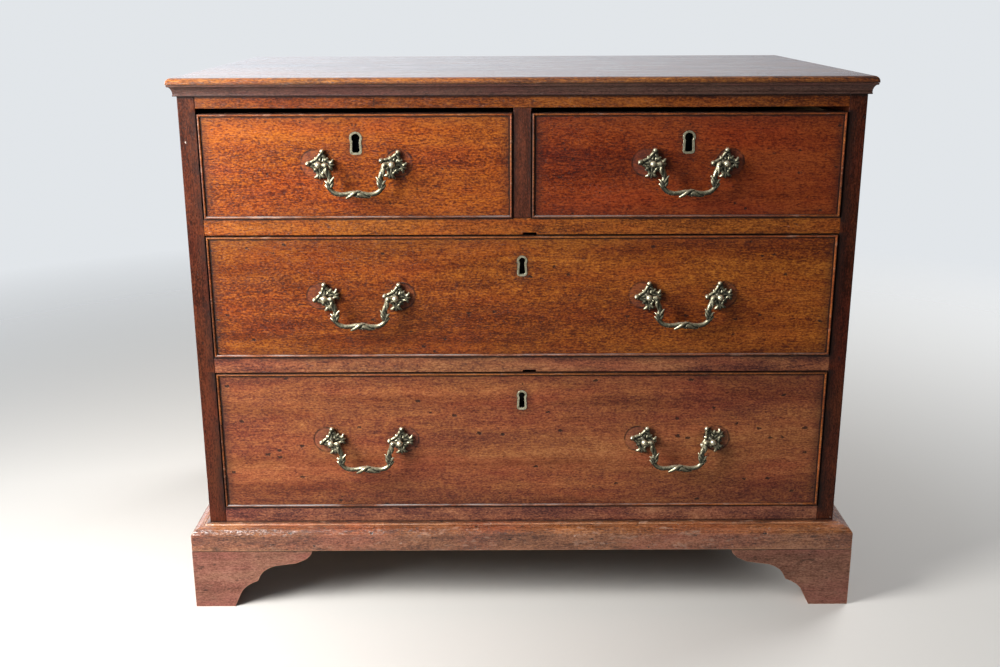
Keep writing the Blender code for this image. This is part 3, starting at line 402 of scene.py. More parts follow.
def wood(name, seed, grain, tones, rough=0.36, coat=0.35, coat_rough=0.18, gloss=1.5,
         ruddy=0.8, wave=0.0, soil_and_shade=None, specks=0.5, worn=0.0, arris=0.0, ledge=0.0,
         crisp=1.0, patchy=0.0, smoky=0.0, chips=0.0, pits=0.00014, sheen=0.22, pale=None):
    """Waxed wood: wandering grain, figure, crisp flecks and fibres, uneven patches, smoky bands,
    open pores, ink spots, pale chips, knocks and worn places, pale rubbed arrises, brighter
    ledges, and grime with painted shade and a pale painted highlight, each made by a function of
    the node tree."""
    n = Nodes(bpy.data.materials.new(name))
    place = n.vector("ADD", along_grain(n, grain), [seed * step for step in SEED_STRIDE])
    wander = n.noise(place, WANDER_SCALE, 2.0)
    shift = n.math("MULTIPLY", n.math("SUBTRACT", wander, 0.5), WANDER_REACH)
    grained = n.vector("ADD", place, n.join(0.0, shift, shift))
    tone, fleck = grain_tone(n, place, grained, crisp, patchy)
    colour = n.ramp(tone, list(zip(TONE_STOPS, tones)))
    redder = n.range(n.noise(grained, RUDDY_SCALE, 4.0, 0.6), 0.44, 0.66)
    colour = n.tint(n.math("MULTIPLY", redder, ruddy), colour, RUDDY_TINT)
    pore = n.range(n.noise(grained, PORE_SCALE, 2.0, 0.6), 0.57, 0.68)
    colour = n.tint(n.math("MULTIPLY", pore, 0.85), colour, PORE_TINT)
    if smoky:
        band = n.range(n.noise(grained, SMOKE_SCALE, 3.0, 0.6), 0.50, 0.70, 0.0, smoky)
        colour = n.tint(band, colour, PORE_TINT)

    spots = n.math("MAXIMUM", dots(n, place, *INK_SPOTS), dots(n, place, *FINE_SPOTS))
    colour = n.mix(n.math("MULTIPLY", spots, specks, clamp=True), colour, GRIME_AND_SHADE)
    if chips:
        nicks = n.math("MULTIPLY", dots(n, place, *CHIP_SPOTS), chips)
        colour = n.mix(nicks, colour, CHIP)
    if ledge:
        upward = n.range(n.split(n.facing())[2], 0.15, 0.5, 0.0, ledge)
        colour = n.tint(upward, colour, LEDGE_TINT)
    if arris:
        colour = n.mix(rubbed_arris(n, place, arris), colour, RUBBED)
    roughness = n.range(n.noise(place, (14, 40, 40), 3.0), 0.3, 0.7, rough - 0.07, rough + 0.08)
    if soil_and_shade:
        # Grime and painted shade, and old wax, from a function of the node tree
        dirt_and_shade, wax = soil_and_shade(n)
        colour = n.mix(n.math("MULTIPLY", wax, 0.20), colour, OLD_WAX)
        colour = n.mix(n.math("MULTIPLY", dirt_and_shade, 0.90), colour, GRIME_AND_SHADE)
        roughness = n.math("ADD", roughness, n.math("MULTIPLY", dirt_and_shade, 0.18))
    # A pale painted highlight from a function of the node tree, where light from above would be
    # reflected
    if pale:
        colour = n.mix(pale(n), colour, PAINTED_HIGHLIGHT)
    if worn:
        colour = worn_colour(n, place, colour, worn)

    relief = n.math("SUBTRACT", n.math("MULTIPLY", fleck, 0.6), n.math("MULTIPLY", pore, 0.9))
    relief = n.math("SUBTRACT", relief, n.math("MULTIPLY", spots, 1.5))
    normal = n.bump(relief, pits)
    if wave:
        normal = n.bump(n.noise(place, WAVE_SCALE, 4.0, 0.6), wave, normal)
    shader = n.shader.inputs
    n.put(shader["Base Color"], colour)
    n.put(shader["Roughness"], roughness)
    n.put(shader["Normal"], normal)
    n.put(shader["Coat Normal"], normal)
    shader["Coat Weight"].default_value = coat
    shader["Coat Roughness"].default_value = coat_rough
    shader["Coat IOR"].default_value = gloss
    shader["Specular IOR Level"].default_value = sheen
    return n.block


def distance_to(n, x, z, stretch=1.0):
    """How far a point of a front is from (x, z), with heights stretched."""
    px, _, pz = n.split(n.place())
    return n.vector("LENGTH", n.join(n.math("SUBTRACT", px, x), 0.0,
                                     n.math("MULTIPLY", n.math("SUBTRACT", pz, z), stretch)))


def front_grime_and_shade(drawer):
    """Grime along a front's edges and round its handles, with painted shade in the film along the
    edges and in the halo round each handle; grime round its keyhole, in the pin hole over the
    keyhole and in the rings of older handles; and the dull wax inside those rings."""
    low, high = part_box(drawer + "_front")
    centre = (low + high) / 2
    posts = [node for node in frame["nodes"]
             if node.startswith(drawer) and "_handle_post" in node]
    lock_low, lock_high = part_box(drawer + "_lock")
    key_x = ((lock_low + lock_high) / 2).x
    key_z = high.z - KEY_DROPS[drawer]

    def soil_and_shade(n):
        x, _, z = n.split(n.place())
        side = n.math("SUBTRACT", (high.x - low.x) / 2,
                      n.math("ABSOLUTE", n.math("SUBTRACT", x, centre.x)))
        end = n.math("MINIMUM", n.math("SUBTRACT", high.z, z),
                     n.math("SUBTRACT", z, low.z - 0.0018))
        edge = n.math("MINIMUM", side, end)
        rag = n.math("MULTIPLY", n.noise(n.place(), (60, 60, 60), 3.0), 0.004)
        edge = n.math("SUBTRACT", edge, rag)
        crease = n.range(edge, 0.0020, 0.0034, 0.88, 0.0)
        # A darker film along the edges: grime and painted shade
        film = n.range(edge, 0.0, 0.020, 0.34, 0.0)
        at_sides = n.range(n.math("SUBTRACT", side, rag), 0.0, 0.013, 0.42, 0.0)
        dirt_and_shade = n.math("ADD", n.math("ADD", crease, film), at_sides)
        wax = 0.0
        patchy = n.range(n.noise(n.place(), (90, 90, 90), 3.0), 0.32, 0.56)
        for node in posts:
            near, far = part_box(node)
            post = (near + far) / 2
            outward = RING_SHIFT if node.endswith("_right") else -RING_SHIFT
            # A dark halo round each post: grime and painted shade
            halo = n.range(distance_to(n, post.x, post.z), 0.010, 0.024, 0.42, 0.0)
            reach = distance_to(n, post.x + outward, post.z)
            ring = n.math("ABSOLUTE", n.math("SUBTRACT", reach, RING_RADIUS))
            line = n.math("MULTIPLY", n.range(ring, 0.0005, 0.0017, 0.85, 0.0), patchy)
            dirt_and_shade = n.math("MAXIMUM", dirt_and_shade, n.math("ADD", halo, line))
            wax = n.math("MAXIMUM", wax, n.range(reach, 0.0160, RING_RADIUS, 1.0, 0.0))
        keyed = n.range(distance_to(n, key_x, key_z, 0.6), 0.008, 0.017, 0.45, 0.0)
        dirt_and_shade = n.math("MAXIMUM", dirt_and_shade, keyed)
        to_pin = distance_to(n, key_x + 0.001, key_z + PIN_HOLE_RISE)
        pin_hole = n.range(to_pin, 0.0009, 0.0016, 0.9, 0.0)
        return n.math("MAXIMUM", dirt_and_shade, pin_hole, clamp=True), wax

    return soil_and_shade


def bead_gap_grime_and_shade(drawer):
    """Grime and painted shade on the outer flank of a cock bead, which faces into the gap round
    its drawer.
    """
    low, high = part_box(drawer + "_cock_bead")

    def soil_and_shade(n):
        x, _, z = n.split(n.place())
        across = n.math("MINIMUM", n.math("SUBTRACT", x, low.x), n.math("SUBTRACT", high.x, x))
        upright = n.math("MINIMUM", n.math("SUBTRACT", z, low.z), n.math("SUBTRACT", high.z, z))
        inset = n.math("MINIMUM", across, upright)
        return n.range(inset, 0.0004, 0.0011, 1.0, 0.0), 0.0

    return soil_and_shade


def bead_painted_highlight(drawer):
    """A pale painted highlight on the upper side of a cock bead's bottom strip, weaker at the
    right, where less light falls.
    """
    low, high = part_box(drawer + "_cock_bead")
    middle = (low.z + high.z) / 2

    def pale(n):
        # Painted highlight: the upward-facing flank of the bottom strip is paled as if it caught
        # the light
        upward = n.range(n.split(n.facing())[2], 0.26, 0.66, 0.0, 0.9)
        x, _, z = n.split(n.place())
        below = n.math("MULTIPLY", n.math("LESS_THAN", z, middle),
                       n.range(x, -0.22, 0.30, 1.0, 0.3))
        patches = n.range(n.noise(n.place(), (18, 120, 120), 4.0, 0.65), 0.40, 0.58, 0.10, 1.0)
        return n.math("MULTIPLY", n.math("MULTIPLY", upward, below), patches)

    return pale


def case_grime_and_shade(spread, reach):
    """Grime and painted shade on the case: a dark line along the drawers' openings, and a film
    that spreads down and sideways from them so strongly and so far, mostly under them, where shade
    falls; grime and painted shade in the creases at the mouldings; and grime in the short upright
    crack in the top rail's left half."""
    def soil_and_shade(n):
        x, y, z = n.split(n.place())
        away = filmed = 1.0
        for drawer in DRAWERS:
            low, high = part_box(drawer + "_cock_bead")
            across = n.math("MAXIMUM", n.math("SUBTRACT", low.x, x), n.math("SUBTRACT", x, high.x))
            under = n.math("SUBTRACT", low.z, z)
            over = n.math("SUBTRACT", z, high.z)
            nearest = n.math("MAXIMUM", across, n.math("MAXIMUM", under, over))
            away = n.math("MINIMUM", away, nearest)
            # The film reaches a quarter as far over an opening as under it: painted shade under
            # the drawers, with grime
            far_over = n.math("MULTIPLY", over, 4.0)
            nearest = n.math("MAXIMUM", across, n.math("MAXIMUM", under, far_over))
            filmed = n.math("MINIMUM", filmed, nearest)
        rag = n.math("MULTIPLY", n.noise(n.place(), (70, 70, 70), 3.0), 0.0016)
        uneven = n.range(n.noise(n.place(), (22, 22, 22), 3.0, 0.6), 0.34, 0.58, 0.20, 1.0)
        film = n.math("MULTIPLY", n.range(filmed, 0.0020, reach, spread, 0.0), uneven)
        # A dark line along the openings: grime and painted shade beside the cock beads
        line = n.range(n.math("ADD", away, rag), 0.0018, 0.0034, 0.90, 0.0)
        on_front = n.range(y, FRONT_Y + 0.001, FRONT_Y + 0.004, 1.0, 0.0)
        dirt_and_shade = n.math("MULTIPLY", n.math("ADD", line, film), on_front)

        upper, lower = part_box("top_moulding")[0].z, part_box("plinth_moulding")[1].z
        rise = n.math("ADD", z, rag)
        fall = n.math("SUBTRACT", z, rag)
        # Grime and painted shade in the creases under the top's moulding and over the plinth's
        # moulding
        dirt_and_shade = n.math("MAXIMUM", dirt_and_shade, n.range(rise, upper - 0.0030, upper - 0.0008, 0.0, 0.85))
        dirt_and_shade = n.math("MAXIMUM", dirt_and_shade, n.range(fall, lower, lower + 0.0014, 0.80, 0.0))

        rail_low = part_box("top_rail")[0].z
        bend = n.math("MULTIPLY", n.noise(n.place(), (0, 0, 260), 2.0), 0.003)
        off = n.math("ABSOLUTE", n.math("SUBTRACT", n.math("ADD", x, bend), CRACK_X))
        crack = n.math("MULTIPLY", n.range(off, 0.0004, 0.0012, 0.75, 0.0),
                       n.range(z, rail_low + 0.001, rail_low + 0.004))
        return n.math("MAXIMUM", dirt_and_shade, crack, clamp=True), 0.0

    return soil_and_shade


def moulding_crease_grime_and_shade(n):
    """Grime and painted shade in the crease under the top's moulding."""
    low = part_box("top_moulding")[0].z
    return n.range(n.split(n.place())[2], low + 0.0004, low + 0.0018, 0.85, 0.0), 0.0


def plinth_soil(n):
    """Grime on the plinth's ledge, where it meets the case."""
    x, y, z = n.split(n.place())
    ahead = n.math("MAXIMUM", n.math("SUBTRACT", FRONT_Y, y),
                   n.math("SUBTRACT", n.math("ABSOLUTE", x), HALF_CASE))
    rag = n.math("MULTIPLY", n.noise(n.place(), (70, 70, 70), 3.0), 0.004)
    near = n.range(n.math("SUBTRACT", ahead, rag), 0.0, 0.0035, 0.75, 0.0)
    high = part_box("plinth_moulding")[1].z
    return n.math("MULTIPLY", near, n.range(z, high - 0.006, high - 0.003)), 0.0


def foot_soil(n):
    """Grime in the crease between a foot and the plinth."""
    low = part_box("plinth_moulding")[0].z
    return n.range(n.split(n.place())[2], low - 0.0016, low - 0.0004, 0.0, 0.75), 0.0


def lip_grime_and_shade(n):
    """Dark patches and painted shade on the lower half along the top's lip, both weaker at the
    left, where more light falls, and a light film on its flat."""
    on_lip = n.range(n.split(n.facing())[2], 0.75, 0.92, 1.0, 0.0)
    x, _, z = n.split(n.place())
    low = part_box("top_moulding")[1].z
    rag = n.math("MULTIPLY", n.noise(n.place(), (45, 45, 45), 4.0, 0.65), 0.004)
    rise = n.math("SUBTRACT", n.math("SUBTRACT", z, low), rag)
    # Painted shade on the lip's lower half, which faces down
    crease = n.range(rise, -0.0010, 0.0032, 0.92, 0.0)
    dark = n.math("ADD",
                  n.range(n.noise(n.place(), (34, 34, 190), 4.0, 0.65), 0.48, 0.64, 0.0, 0.55),
                  n.range(n.noise(n.place(), (9, 9, 60), 2.0), 0.42, 0.56, 0.0, 0.42))
    # Painted shade: darker towards the right, away from the light
    dark = n.math("MULTIPLY", dark, n.range(x, -0.38, 0.0, 0.35, 1.0))
    dark = n.math("MAXIMUM", dark, n.math("MULTIPLY", crease, n.range(x, -0.44, -0.2, 0.6, 1.0)))
    flat = n.math("MULTIPLY", n.math("SUBTRACT", 1.0, on_lip), 0.20)
    return n.math("ADD", n.math("MULTIPLY", dark, on_lip), flat, clamp=True), 0.0


def wear_edges(node, width, segments=2):
    """Round a case piece's sharp edges a little."""
    piece = frame["nodes"][node]
    weld = piece.modifiers.new("weld", "WELD")
    weld.merge_threshold = WELD_REACH
    bevel = piece.modifiers.new("worn_edges", "BEVEL")
    bevel.width = width
    bevel.segments = segments
    bevel.limit_method = "ANGLE"
    bevel.angle_limit = math.radians(WORN_ANGLE)
    bevel.use_clamp_overlap = True


def finish(node, material):
    """Give a CAD node its material."""
    slots = frame["nodes"][node].data.materials
    slots.clear()
    slots.append(material)


def dress_case():
    """Materials and worn edges of the case, the plinth and the feet."""
    top = dict(rough=0.26, coat=0.9, coat_rough=0.08, wave=0.00016, specks=0.7, arris=0.25,
               crisp=1.3, soil_and_shade=lip_grime_and_shade)
    plinth = dict(rough=0.30, coat=1.0, gloss=1.7, wave=0.0020, specks=0.9, worn=0.45,
                  arris=0.75, ledge=1.0, crisp=1.4, patchy=1.0, chips=0.6, soil_and_shade=plinth_soil)
    foot = dict(rough=0.40, wave=0.0004, worn=0.15, arris=0.6, patchy=0.4, soil_and_shade=foot_soil)
    side = dict(coat=0.12, sheen=0.15, soil_and_shade=case_grime_and_shade(1.0, 0.0150), crisp=1.5, patchy=0.9,
                chips=0.8)
    dusky = dict(soil_and_shade=case_grime_and_shade(0.75, 0.0085), crisp=1.2, patchy=0.9, chips=0.4)
    bright = dict(soil_and_shade=case_grime_and_shade(0.15, 0.0060), crisp=1.6, patchy=0.8, chips=0.5)
    plan = (
        ("top_board", 1, "X", TOP_TONES, top),
        ("top_moulding", 2, "frame", DARK_TONES, dict(wave=0.0003, soil_and_shade=moulding_crease_grime_and_shade)),
        ("side_panel_left", 3, "Z", CASE_TONES, side),
        ("side_panel_right", 4, "Z", CASE_TONES, side),
        ("drawer_divider", 5, "Z", CASE_TONES, dusky),
        ("top_rail", 6, "X", RAIL_TONES, bright),
        ("upper_rail", 7, "X", RAIL_TONES, bright),
        ("lower_rail", 8, "X", RAIL_TONES, dusky),
        ("bottom_rail", 9, "X", RAIL_TONES, dict(dusky, soil_and_shade=case_grime_and_shade(0.3, 0.0050))),
        ("plinth_moulding", 10, "frame", PLINTH_TONES, plinth),
        ("foot_front_left", 11, "frame", FOOT_TONES, foot),
        ("foot_front_right", 12, "frame", FOOT_TONES, foot),
        ("foot_rear_left", 13, "frame", FOOT_TONES, foot),
        ("foot_rear_right", 14, "frame", FOOT_TONES, foot),
    )
    for node, seed, grain, tones, looks in plan:
        finish(node, wood("wood_" + node, seed, grain, tinted(tones, node), **looks))
        wear_edges(node, FOOT_EDGE_WEAR if node.startswith("foot") else EDGE_WEAR)
    bare = dict(rough=0.62, coat=0.0, ruddy=0.1, specks=0.3)
    for node, seed, grain in (("upper_dustboard", 15, "X"), ("lower_dustboard", 16, "X"),
                              ("bottom_board", 17, "X"), ("back_board", 18, "Z")):
        finish(node, wood("oak_" + node, seed, grain, OAK_TONES, **bare))


def dress_drawers():
    """Materials of the drawers' wooden pieces."""
    bare = dict(rough=0.60, coat=0.0, ruddy=0.1, specks=0.3)
    for i, drawer in enumerate(DRAWERS):
        front = dict(rough=0.40, coat=0.2, coat_rough=0.24, wave=0.0003, specks=0.85,
                     soil_and_shade=front_grime_and_shade(drawer), crisp=CRISPNESS[drawer], smoky=SMOKE[drawer])
        bead = dict(rough=0.42, coat=0.3, coat_rough=0.28, wave=0.0006, pits=0.00004,
                    worn=0.4, soil_and_shade=bead_gap_grime_and_shade(drawer), pale=bead_painted_highlight(drawer))
        plan = (
            ("_front", "wood_" + drawer + "_front", "X", tinted(FRONT_TONES, drawer), front),
            ("_cock_bead", "wood_" + drawer + "_bead", "X", BEAD_TONES, bead),
            ("_sides_and_back", "oak_" + drawer + "_sides", "Y", OAK_TONES, bare),
            ("_bottom", "oak_" + drawer + "_bottom", "X", OAK_TONES, bare),
        )
        first_seed = FIRST_DRAWER_SEED + SEEDS_PER_DRAWER * i
        for seed, (node, name, grain, tones, looks) in enumerate(plan, first_seed):
            finish(drawer + node, wood(name, seed, grain, tones, **looks))


# Metal

# Tones of aged brass, from the hollows and the painted-shade undersides to the rubbed places and
# painted-light tops, and of bare iron
BRASS_TONES = ((0.20, (0.019, 0.021, 0.019)), (0.46, (0.080, 0.079, 0.056)),
               (0.68, (0.34, 0.31, 0.20)), (0.90, (0.84, 0.79, 0.57)))
IRON_TONES = ((0.3, (0.06, 0.05, 0.045)), (0.7, (0.20, 0.185, 0.17)))
DEEP_DARK = (0.006, 0.007, 0.007)
# Pointiness of the brass where it is hollow and where it is raised
RELIEF_RANGE = (0.455, 0.565)


def keyhole_painted_shade(n):
    """Painted shade: the dark inside a lock's keyhole, between its rim and the back of its case.
    """
    depth = n.math("SUBTRACT", n.split(n.place())[1], FRONT_Y)
    return n.math("MULTIPLY", n.range(depth, 0.0006, 0.0020),
                  n.range(depth, 0.0190, 0.0198, 1.0, 0.0))


def collar_dark(n):
    """The grime on a post's collar, behind its ball."""
    return n.range(n.split(n.place())[1], -0.0112, -0.0080, 0.0, 0.85)


def brass(name, wear=0.0, dark=None):
    """Aged brass: pale where it is rubbed, near black and olive in the hollows and where a
    function of the node tree says that it is dark, with painted light on its upward-facing parts
    and painted shade on its undersides."""
    n = Nodes(bpy.data.materials.new(name))
    coordinates = n.tree.nodes.new("ShaderNodeTexCoord").outputs
    place = coordinates["Object"]
    # Painted light and shade: parts that face up are lighter, undersides darker
    upward = n.math("MULTIPLY", n.split(coordinates["Normal"])[2], 0.36)
    relief = n.tree.nodes.new("ShaderNodeNewGeometry").outputs["Pointiness"]
    patchy = n.noise(place, (380, 380, 380), 3.0, 0.6)
    rubbed = n.math("ADD", n.range(relief, *RELIEF_RANGE, wear, 1.0 + wear),
                    n.math("MULTIPLY", n.math("SUBTRACT", patchy, 0.5), 0.8))
    # The rubbed places, with the painted light and shade of the facing added
    rubbed = n.math("ADD", rubbed, upward, clamp=True)
    colour = n.ramp(rubbed, BRASS_TONES)
    if dark:
        colour = n.mix(dark(n), colour, DEEP_DARK)
    shader = n.shader.inputs
    n.put(shader["Base Color"], colour)
    n.put(shader["Roughness"], n.range(rubbed, 0.2, 0.9, 0.58, 0.25))
    n.put(shader["Normal"], n.bump(n.noise(place, (700, 700, 700), 2.0), 0.00004))
    shader["Metallic"].default_value = 0.72
    return n.block


def rounded(stroke):
    """A stroke with round ends."""
    ends = []
    for end, inner in ((stroke[0], stroke[1]), (stroke[-1], stroke[-2])):
        radius = end[3]
        out = (Vector(end[:3]) - Vector(inner[:3])).normalized() * radius
        ends.append([(*(Vector(end[:3]) + out * reach), radius * share)
                     for reach, share in ((0.70, 0.80), (1.0, 0.15))])
    return ends[0][::-1] + list(stroke) + ends[1]


def cast(name, strokes):
    """A cast piece: strokes of (x, y, z, radius) points, all in metres, run together as
    molten metal would run, into one mesh."""
    curve = bpy.data.curves.new(name, "CURVE")
    curve.dimensions = "3D"
    curve.bevel_depth = 1.0
    curve.bevel_resolution = 4
    curve.use_fill_caps = True
    for stroke in map(rounded, strokes):
        spline = curve.splines.new("NURBS")
        spline.points.add(len(stroke) - 1)
        for point, (x, y, z, radius) in zip(spline.points, stroke):
            point.co = (x, y, z, 1)
            point.radius = radius
        spline.order_u = 3
        spline.use_endpoint_u = True
        spline.resolution_u = 6
    holder = bpy.data.objects.new(name, curve)
    bpy.context.scene.collection.objects.link(holder)
    weld = holder.modifiers.new("weld", "WELD")
    weld.merge_threshold = WELD_REACH
    remesh = holder.modifiers.new("run_together", "REMESH")
    remesh.mode = "VOXEL"
    remesh.voxel_size = CAST_GRAIN
    smooth = holder.modifiers.new("smooth", "SMOOTH")
    smooth.iterations = 3
    bpy.context.view_layer.update()
    graph = bpy.context.evaluated_depsgraph_get()
    mesh = bpy.data.meshes.new_from_object(holder.evaluated_get(graph))
    bpy.data.objects.remove(holder, do_unlink=True)
    mesh.shade_smooth()
    return mesh


def between(a, b, t, pull=0.0):
    """A point from a to b, pulled towards the middle of the plate."""
    share = 1 - pull
    return (a[0] + (b[0] - a[0]) * t) * share, (a[1] + (b[1] - a[1]) * t) * share


def rose_mesh():
    """A pierced leafy backplate, lying against y = 0: balls or leaves at its points,
    scrolled bars between them, and ribs and curls that leave holes."""
    strokes = []
    for k, tip in enumerate(ROSE_TIPS):
        after = ROSE_TIPS[(k + 1) % 4]
        if k in LEAFY_TIPS:
            for turn in LEAF_TURNS:
                way = Matrix.Rotation(turn, 2) @ Vector(tip)
                swell = Vector(tip).lerp(way, 0.6) * 0.9
                strokes.append([(tip[0] * 0.66, -0.0024, tip[1] * 0.66, 0.0018),
                                (swell.x, -0.0038, swell.y, 0.0024),
                                (way.x, -0.0026, way.y, 0.0015)])
        else:
            strokes.append([(tip[0], -0.0030, tip[1], TIP_BALL),
                            (tip[0] * 1.02, -0.0034, tip[1] * 1.02, TIP_BALL)])
        bar = []
        for i in range(9):
            t = i / 8
            x, z = between(tip, after, t, 0.23 * math.sin(math.pi * t))
            bar.append((x, -0.0020 - 0.0008 * math.sin(math.pi * t), z,
                        0.0013 + 0.0014 * abs(math.sin(3 * math.pi * t))))
        strokes.append(bar)
        rib = []
        for i in range(6):
            t = 0.25 + 0.75 * i / 5
            x, z = between((0, 0), tip, t)
            bow = 0.0012 * math.sin(math.pi * t)
            rib.append((x - bow * z / ROSE_REACH, -0.0032 + 0.0014 * t,
                        z + bow * x / ROSE_REACH, 0.0023 - 0.0006 * t))
        strokes.append(rib)
        for hand, lean in CURL_LEANS:
            curl = []
            for i in range(6):
                t = i / 5
                aim = between(tip, after, 0.5 + hand * lean * t)
                x, z = between((0, 0), aim, 0.35 + 0.45 * t)
                curl.append((x, -0.0032 + 0.0010 * t, z, 0.0017 - 0.0003 * t))
            strokes.append(curl)
        x, z = between(tip, after, 0.5)
        strokes.append([(x * 0.86, -0.0030, z * 0.86, 0.0020),
                        (x * 0.98, -0.0026, z * 0.98, 0.0016)])
    strokes.append([(0, 0, 0, 0.0060), (0, -0.0024, 0, 0.0055), (0, -0.0038, 0, 0.0040)])
    return cast("rose", strokes)


def turned_mesh(profile):
    """A turned piece from (radius, height) points, its axis along -Y."""
    bm = bmesh.new()
    verts = [bm.verts.new((radius, -height, 0)) for radius, height in profile]
    edges = [bm.edges.new(pair) for pair in zip(verts, verts[1:])]
    bmesh.ops.spin(bm, geom=verts + edges, axis=(0, 1, 0), angle=2 * math.pi,
                   steps=TURNED_STEPS, use_merge=True)
    bmesh.ops.remove_doubles(bm, verts=bm.verts, dist=WELD_REACH)
    bmesh.ops.recalc_face_normals(bm, faces=bm.faces)
    mesh = bpy.data.meshes.new("turned")
    bm.to_mesh(mesh)
    bm.free()
    mesh.shade_smooth()
    mesh.set_sharp_from_angle(angle=math.radians(SHARP_ANGLE))
    return mesh


def post_mesh(standoff, back):
    """A ball-headed post: ball, neck and collar in front, shank and nut behind."""
    profile = []
    neck = math.pi - math.asin(POST_NECK / BALL_RADIUS)
    for i in range(15):
        angle = neck * i / 14
        profile.append((BALL_RADIUS * math.sin(angle), standoff + BALL_RADIUS * math.cos(angle)))
    profile += [(POST_NECK, 0.0085), (0.0031, 0.0078), (0.0033, 0.0066), (0.0041, 0.0058),
                (0.0050, 0.0042), (0.0052, 0.0030), (0.0052, 0.0012), (POST_SHANK, 0.0012),
                (POST_SHANK, -back), (NUT_RADIUS, -back), (NUT_RADIUS, -back - 0.0025),
                (NUT_RADIUS * 0.9, -back - 0.003), (POST_SHANK, -back - 0.003),
                (POST_SHANK, -back - 0.0065), (0, -back - 0.007)]
    return turned_mesh(profile)


def mirrored(stroke):
    """A stroke on the other side of the bail's middle."""
    return [(-x, y, z, radius) for x, y, z, radius in stroke]


def bail_mesh():
    """A swan-neck bail about its pivot: knuckles, leaves at the bends and a leaf laid
    round the middle."""
    mm = 0.001
    arm = [(39.3, 0, 0, 2.9), (37.4, 0, -0.2, 3.9), (36.2, 0, -1.6, 3.8), (35.2, 0, -4.6, 3.1),
           (33.6, 0, -8.8, 3.2), (32.0, 0, -13.2, 3.5), (31.8, 0, -17.6, 3.0),
           (33.0, 0, -21.8, 3.3), (33.4, 0, -25.6, 3.4), (32.2, 0, -29.6, 3.1),
           (29.3, 0, -33.2, 3.0), (25.0, 0, -35.8, 3.1), (19.0, 0, -36.9, 3.0),
           (12.5, 0, -36.4, 2.9), (6.0, 0, -35.3, 3.2), (0, 0, -35.0, 3.3)]
    leaves = [
        [(33.0, -0.8, -26.5, 2.0), (35.0, -1.4, -21.8, 2.5), (38.2, -0.8, -19.2, 0.6)],
        [(32.2, -0.6, -31.0, 2.0), (35.0, -1.2, -27.2, 2.4), (38.4, -0.6, -24.4, 0.6)],
        [(33.0, -1.0, -25.5, 2.0), (29.8, -1.8, -19.6, 2.5), (26.4, -1.6, -14.2, 0.6)],
        [(31.8, -0.8, -29.0, 2.0), (29.0, -1.6, -24.2, 2.3), (27.0, -1.4, -19.6, 0.6)],
        [(35.2, -1.8, -2.0, 1.8), (36.8, -2.4, -8.0, 2.5), (34.4, -2.2, -14.6, 0.7)],
    ]
    pin = [(POST_SPACING / 2 / mm - 0.5, 0, 0, 1.0), (38.6, 0, 0, 1.0)]
    wrap = [
        [(5.5, -1.0, -32.4, 1.2), (-1.5, -3.0, -34.4, 3.0), (-6.5, -2.7, -38.2, 2.4),
         (-11.6, -1.2, -41.2, 1.5)],
        [(0.0, -1.2, -33.0, 1.4), (5.0, -2.6, -36.8, 2.9), (11.0, -1.9, -39.4, 2.5),
         (18.4, -0.8, -40.4, 0.7)],
        [(2.0, -0.8, -32.6, 1.9), (3.8, -1.2, -33.6, 1.8)],
        [(-2.0, -1.4, -37.6, 1.8), (2.0, -1.8, -38.8, 2.0), (6.0, -1.4, -39.2, 1.3)],
    ]
    half = [arm, pin] + leaves
    strokes = half + [mirrored(stroke) for stroke in half] + wrap
    return cast("bail", [[tuple(value * mm for value in point) for point in stroke]
                         for stroke in strokes])


def show(name, mesh, material, place, body, replaced=None):
    """A new piece of the chest at its place, riding on its body."""
    piece = bpy.data.objects.new(name, mesh)
    bpy.context.scene.collection.objects.link(piece)
    piece.matrix_world = place
    if not mesh.materials:
        mesh.materials.append(material)
    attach(piece, body)
    if replaced:
        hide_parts(replaced)
    return piece


def handles(metal, bright):
    """Every handle: two posts with their pierced backplates, and the bail."""
    pivots = {joint["child"]: Vector(joint["pos_m"]) for joint in frame["joints"]
              if joint["child"].endswith("_bail")}
    rose = rose_mesh()
    bail = bail_mesh()
    standoff = FRONT_Y - pivots["short_left_bail"].y
    post = post_mesh(standoff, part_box("short_left_front")[1].y - FRONT_Y + NUT_GAP)
    for name, pivot in pivots.items():
        handle = name[:-len("_bail")]
        drawer = next(d for d in DRAWERS if handle.startswith(d))
        show(handle + "_cast_bail", bail, metal, Matrix.Translation(pivot), name, name)
        for hand, side in ((-1, "_left"), (1, "_right")):
            node = handle + "_handle_post" + side
            place = Matrix.Translation((pivot.x + hand * POST_SPACING / 2, FRONT_Y, pivot.z))
            turn = Matrix.Rotation(-math.radians(ROSE_TURNS[handle][hand > 0]), 4, "Y")
            show(node + "_turned", post, bright, place, drawer + "_drawer", node)
            show(node + "_rose", rose, metal, place @ turn, drawer + "_drawer")


def iron(name):
    """Dark bare iron."""
    n = Nodes(bpy.data.materials.new(name))
    patchy = n.noise(n.place(), (180, 180, 180), 3.0)
    shader = n.shader.inputs
    n.put(shader["Base Color"], n.ramp(patchy, IRON_TONES))
    n.put(shader["Roughness"], n.range(patchy, 0.3, 0.7, 0.40, 0.62))
    shader["Metallic"].default_value = 1.0
    return n.block


def dress_metal():
    """Materials of the locks and bolts, and the handles."""
    rim = brass("rubbed_brass", 0.18, keyhole_painted_shade)
    bare = iron("lock_iron")
    for drawer in DRAWERS:
        finish(drawer + "_lock", rim)
        wear_edges(drawer + "_lock", RIM_WEAR, 3)
        finish(drawer + "_lock_bolt", bare)
    handles(brass("aged_brass", 0.02), brass("ball_brass", 0.16, collar_dark))


# Surroundings


